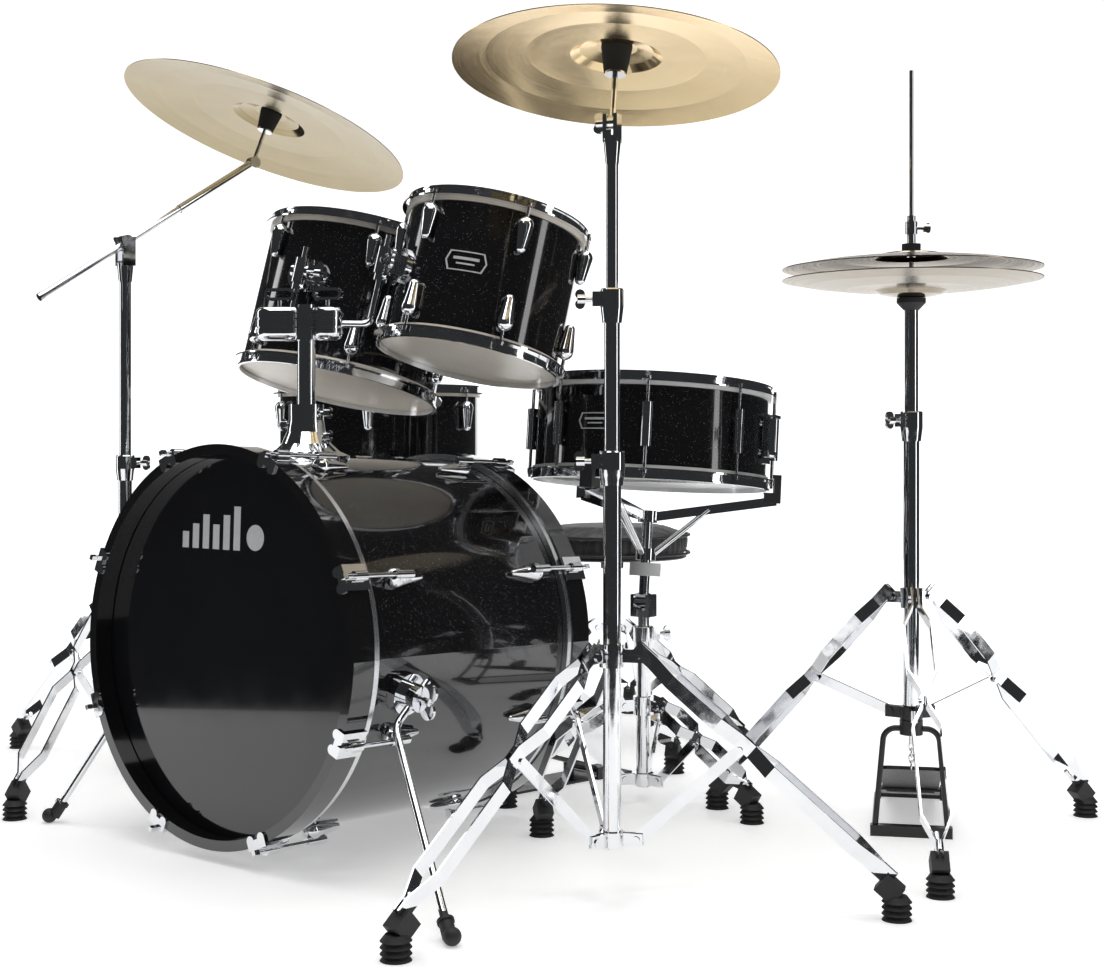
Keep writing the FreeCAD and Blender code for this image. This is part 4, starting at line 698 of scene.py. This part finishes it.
def swell(made, cap):
    """Inflates a cushion by cloth simulation, caps each point's travel and applies the result."""
    scene = bpy.context.scene
    start = made.data.copy()
    bpy.context.view_layer.objects.active = made
    remesh = made.modifiers.new("remesh", "REMESH")
    remesh.mode = "VOXEL"
    remesh.voxel_size = SWELL_VOXEL
    depsgraph = bpy.context.evaluated_depsgraph_get()
    base = bpy.data.meshes.new_from_object(made.evaluated_get(depsgraph))
    made.modifiers.clear()
    made.data = base
    before = [vertex.co.copy() for vertex in base.vertices]
    cloth = made.modifiers.new("cloth", "CLOTH")
    cloth.settings.quality = 5
    cloth.settings.use_pressure = True
    cloth.settings.uniform_pressure_force = SWELL_PRESSURE
    cloth.settings.effector_weights.gravity = 0.0
    cloth.settings.tension_stiffness = 30
    cloth.settings.compression_stiffness = 30
    for step in range(1, SWELL_FRAMES + 1):
        scene.frame_set(step)
    depsgraph = bpy.context.evaluated_depsgraph_get()
    swollen = bpy.data.meshes.new_from_object(made.evaluated_get(depsgraph))
    made.modifiers.clear()
    made.data = swollen
    for vertex, old in zip(swollen.vertices, before):
        move = vertex.co - old
        if move.length > cap:
            vertex.co = old + move.normalized() * cap
    subdivide = made.modifiers.new("subdivide", "SUBSURF")
    subdivide.levels = 1
    subdivide.render_levels = 1
    depsgraph = bpy.context.evaluated_depsgraph_get()
    final = bpy.data.meshes.new_from_object(made.evaluated_get(depsgraph))
    made.modifiers.clear()
    made.data = final
    if not final.materials:
        final.materials.append(start.materials[0])
    scene.frame_set(1)


head_mark()
badge("small_tom_badge", "small_tom_shell", SMALL_TOM_AXIS, 0.127, math.radians(-62.0), 0.004, (0.030, 0.014),
      "small_tom")
badge("snare_badge", "snare_shell", SNARE_AXIS, 0.1778, math.radians(-82.0), 0.004, (0.028, 0.012),
      "snare_drum")
pull_chain()
throne_seat()


# ---------------------------------------------------------------- studio
VIEW = Vector((-0.6317, 0.7752, 0.0))
RIGHT = Vector((0.7752, 0.6317, 0.0))
EYE = Vector((1.7872, -2.0147, 0.5576))
LENS = 55.3
SHIFT_UP = -0.0439


def cove():
    look = Look("studio_pale_glowing")
    look.colour = look.blend(look.noise(3.0, 3.0), (0.90, 0.90, 0.90), (0.93, 0.93, 0.93))
    look.rough = look.span(look.noise(40.0, 3.0), 0.3, 0.8, 0.55, 0.7)
    _, reach, _ = look.polar(ORIGIN, UP)
    # Painted light: the cove glows like a lamp. The glow is weak near the kit and almost full far from it,
    # standing in for light that makes the far floor and wall white.
    look.shader.inputs["Emission Color"].default_value = (1.0, 1.0, 1.0, 1.0)
    look.feed(look.shader.inputs["Emission Strength"], look.span(reach, 0.9, 3.2, 0.40, 0.95, True))
    material = look.done()
    mesh = bmesh.new()
    bend, far, tall, near, half = 1.0, 8.6, 3.4, -1.4, 2.15
    ahead, widening = 2.2, 0.35
    profile = [(near, 0.0), (0.0, 0.0), (half / widening - ahead, 0.0), (far - bend, 0.0)]
    profile += [(far - bend + bend * math.sin(a), bend - bend * math.cos(a))
                for a in (math.pi / 2 * k / 24 for k in range(1, 25))]
    profile.append((far, tall))
    start = Vector((EYE.x, EYE.y, 0)) + VIEW * ahead
    rows = []
    for along, height in profile:
        wide = max(half, (along + ahead) * widening)
        rows.append([mesh.verts.new(start + VIEW * along + RIGHT * side + UP * height)
                     for side in (-wide, wide)])
    for one, two in zip(rows, rows[1:]):
        mesh.faces.new((one[0], one[1], two[1], two[0]))
    data = bpy.data.meshes.new("studio_cove")
    bmesh.ops.recalc_face_normals(mesh, faces=mesh.faces)
    mesh.to_mesh(data)
    mesh.free()
    for face in data.polygons:
        face.use_smooth = True
    data.materials.append(material)
    made = bpy.data.objects.new("studio_cove", data)
    bpy.context.scene.collection.objects.link(made)


def softbox(name, place, target, size, power, tint=(1.0, 1.0, 1.0)):
    """A rectangular area light aimed at a point."""
    light = bpy.data.lights.new(name, "AREA")
    light.shape = "RECTANGLE"
    light.size, light.size_y = size
    light.energy = power
    light.color = tint
    made = bpy.data.objects.new(name, light)
    made.location = place
    made.rotation_euler = (target - place).to_track_quat("-Z", "Y").to_euler()
    bpy.context.scene.collection.objects.link(made)


def studio():
    """Backdrop, lights, world and camera."""
    cove()
    kit = Vector((0, 0, 0.5))
    softbox("top_box", Vector((0.1, 0.1, 2.9)), kit, (3.2, 3.2), 95)
    for side, along in ((-1, 0.5), (1, -1.2)):
        place = kit + RIGHT * side * 2.3 + VIEW * along + UP * 0.7
        softbox(f"strip_box_{side + 2}", place, kit, (0.35, 2.4), 8)
    softbox("front_box", kit - VIEW * 2.4 + UP * 2.2, kit, (2.4, 0.5), 16)
    world = bpy.data.worlds.new("studio_world")
    world.use_nodes = True
    world.node_tree.nodes["Background"].inputs["Color"].default_value = (0.03, 0.031, 0.032, 1)
    world.node_tree.nodes["Background"].inputs["Strength"].default_value = 1.0
    bpy.context.scene.world = world
    camera = bpy.data.cameras.new("camera")
    camera.lens = LENS
    camera.sensor_width = 36.0
    camera.shift_y = SHIFT_UP
    camera.clip_start = 0.05
    camera.clip_end = 60.0
    made = bpy.data.objects.new("camera", camera)
    made.location = EYE
    made.rotation_euler = VIEW.to_track_quat("-Z", "Y").to_euler()
    bpy.context.scene.collection.objects.link(made)
    bpy.context.scene.camera = made
    bpy.context.scene.view_settings.view_transform = "Standard"


studio()
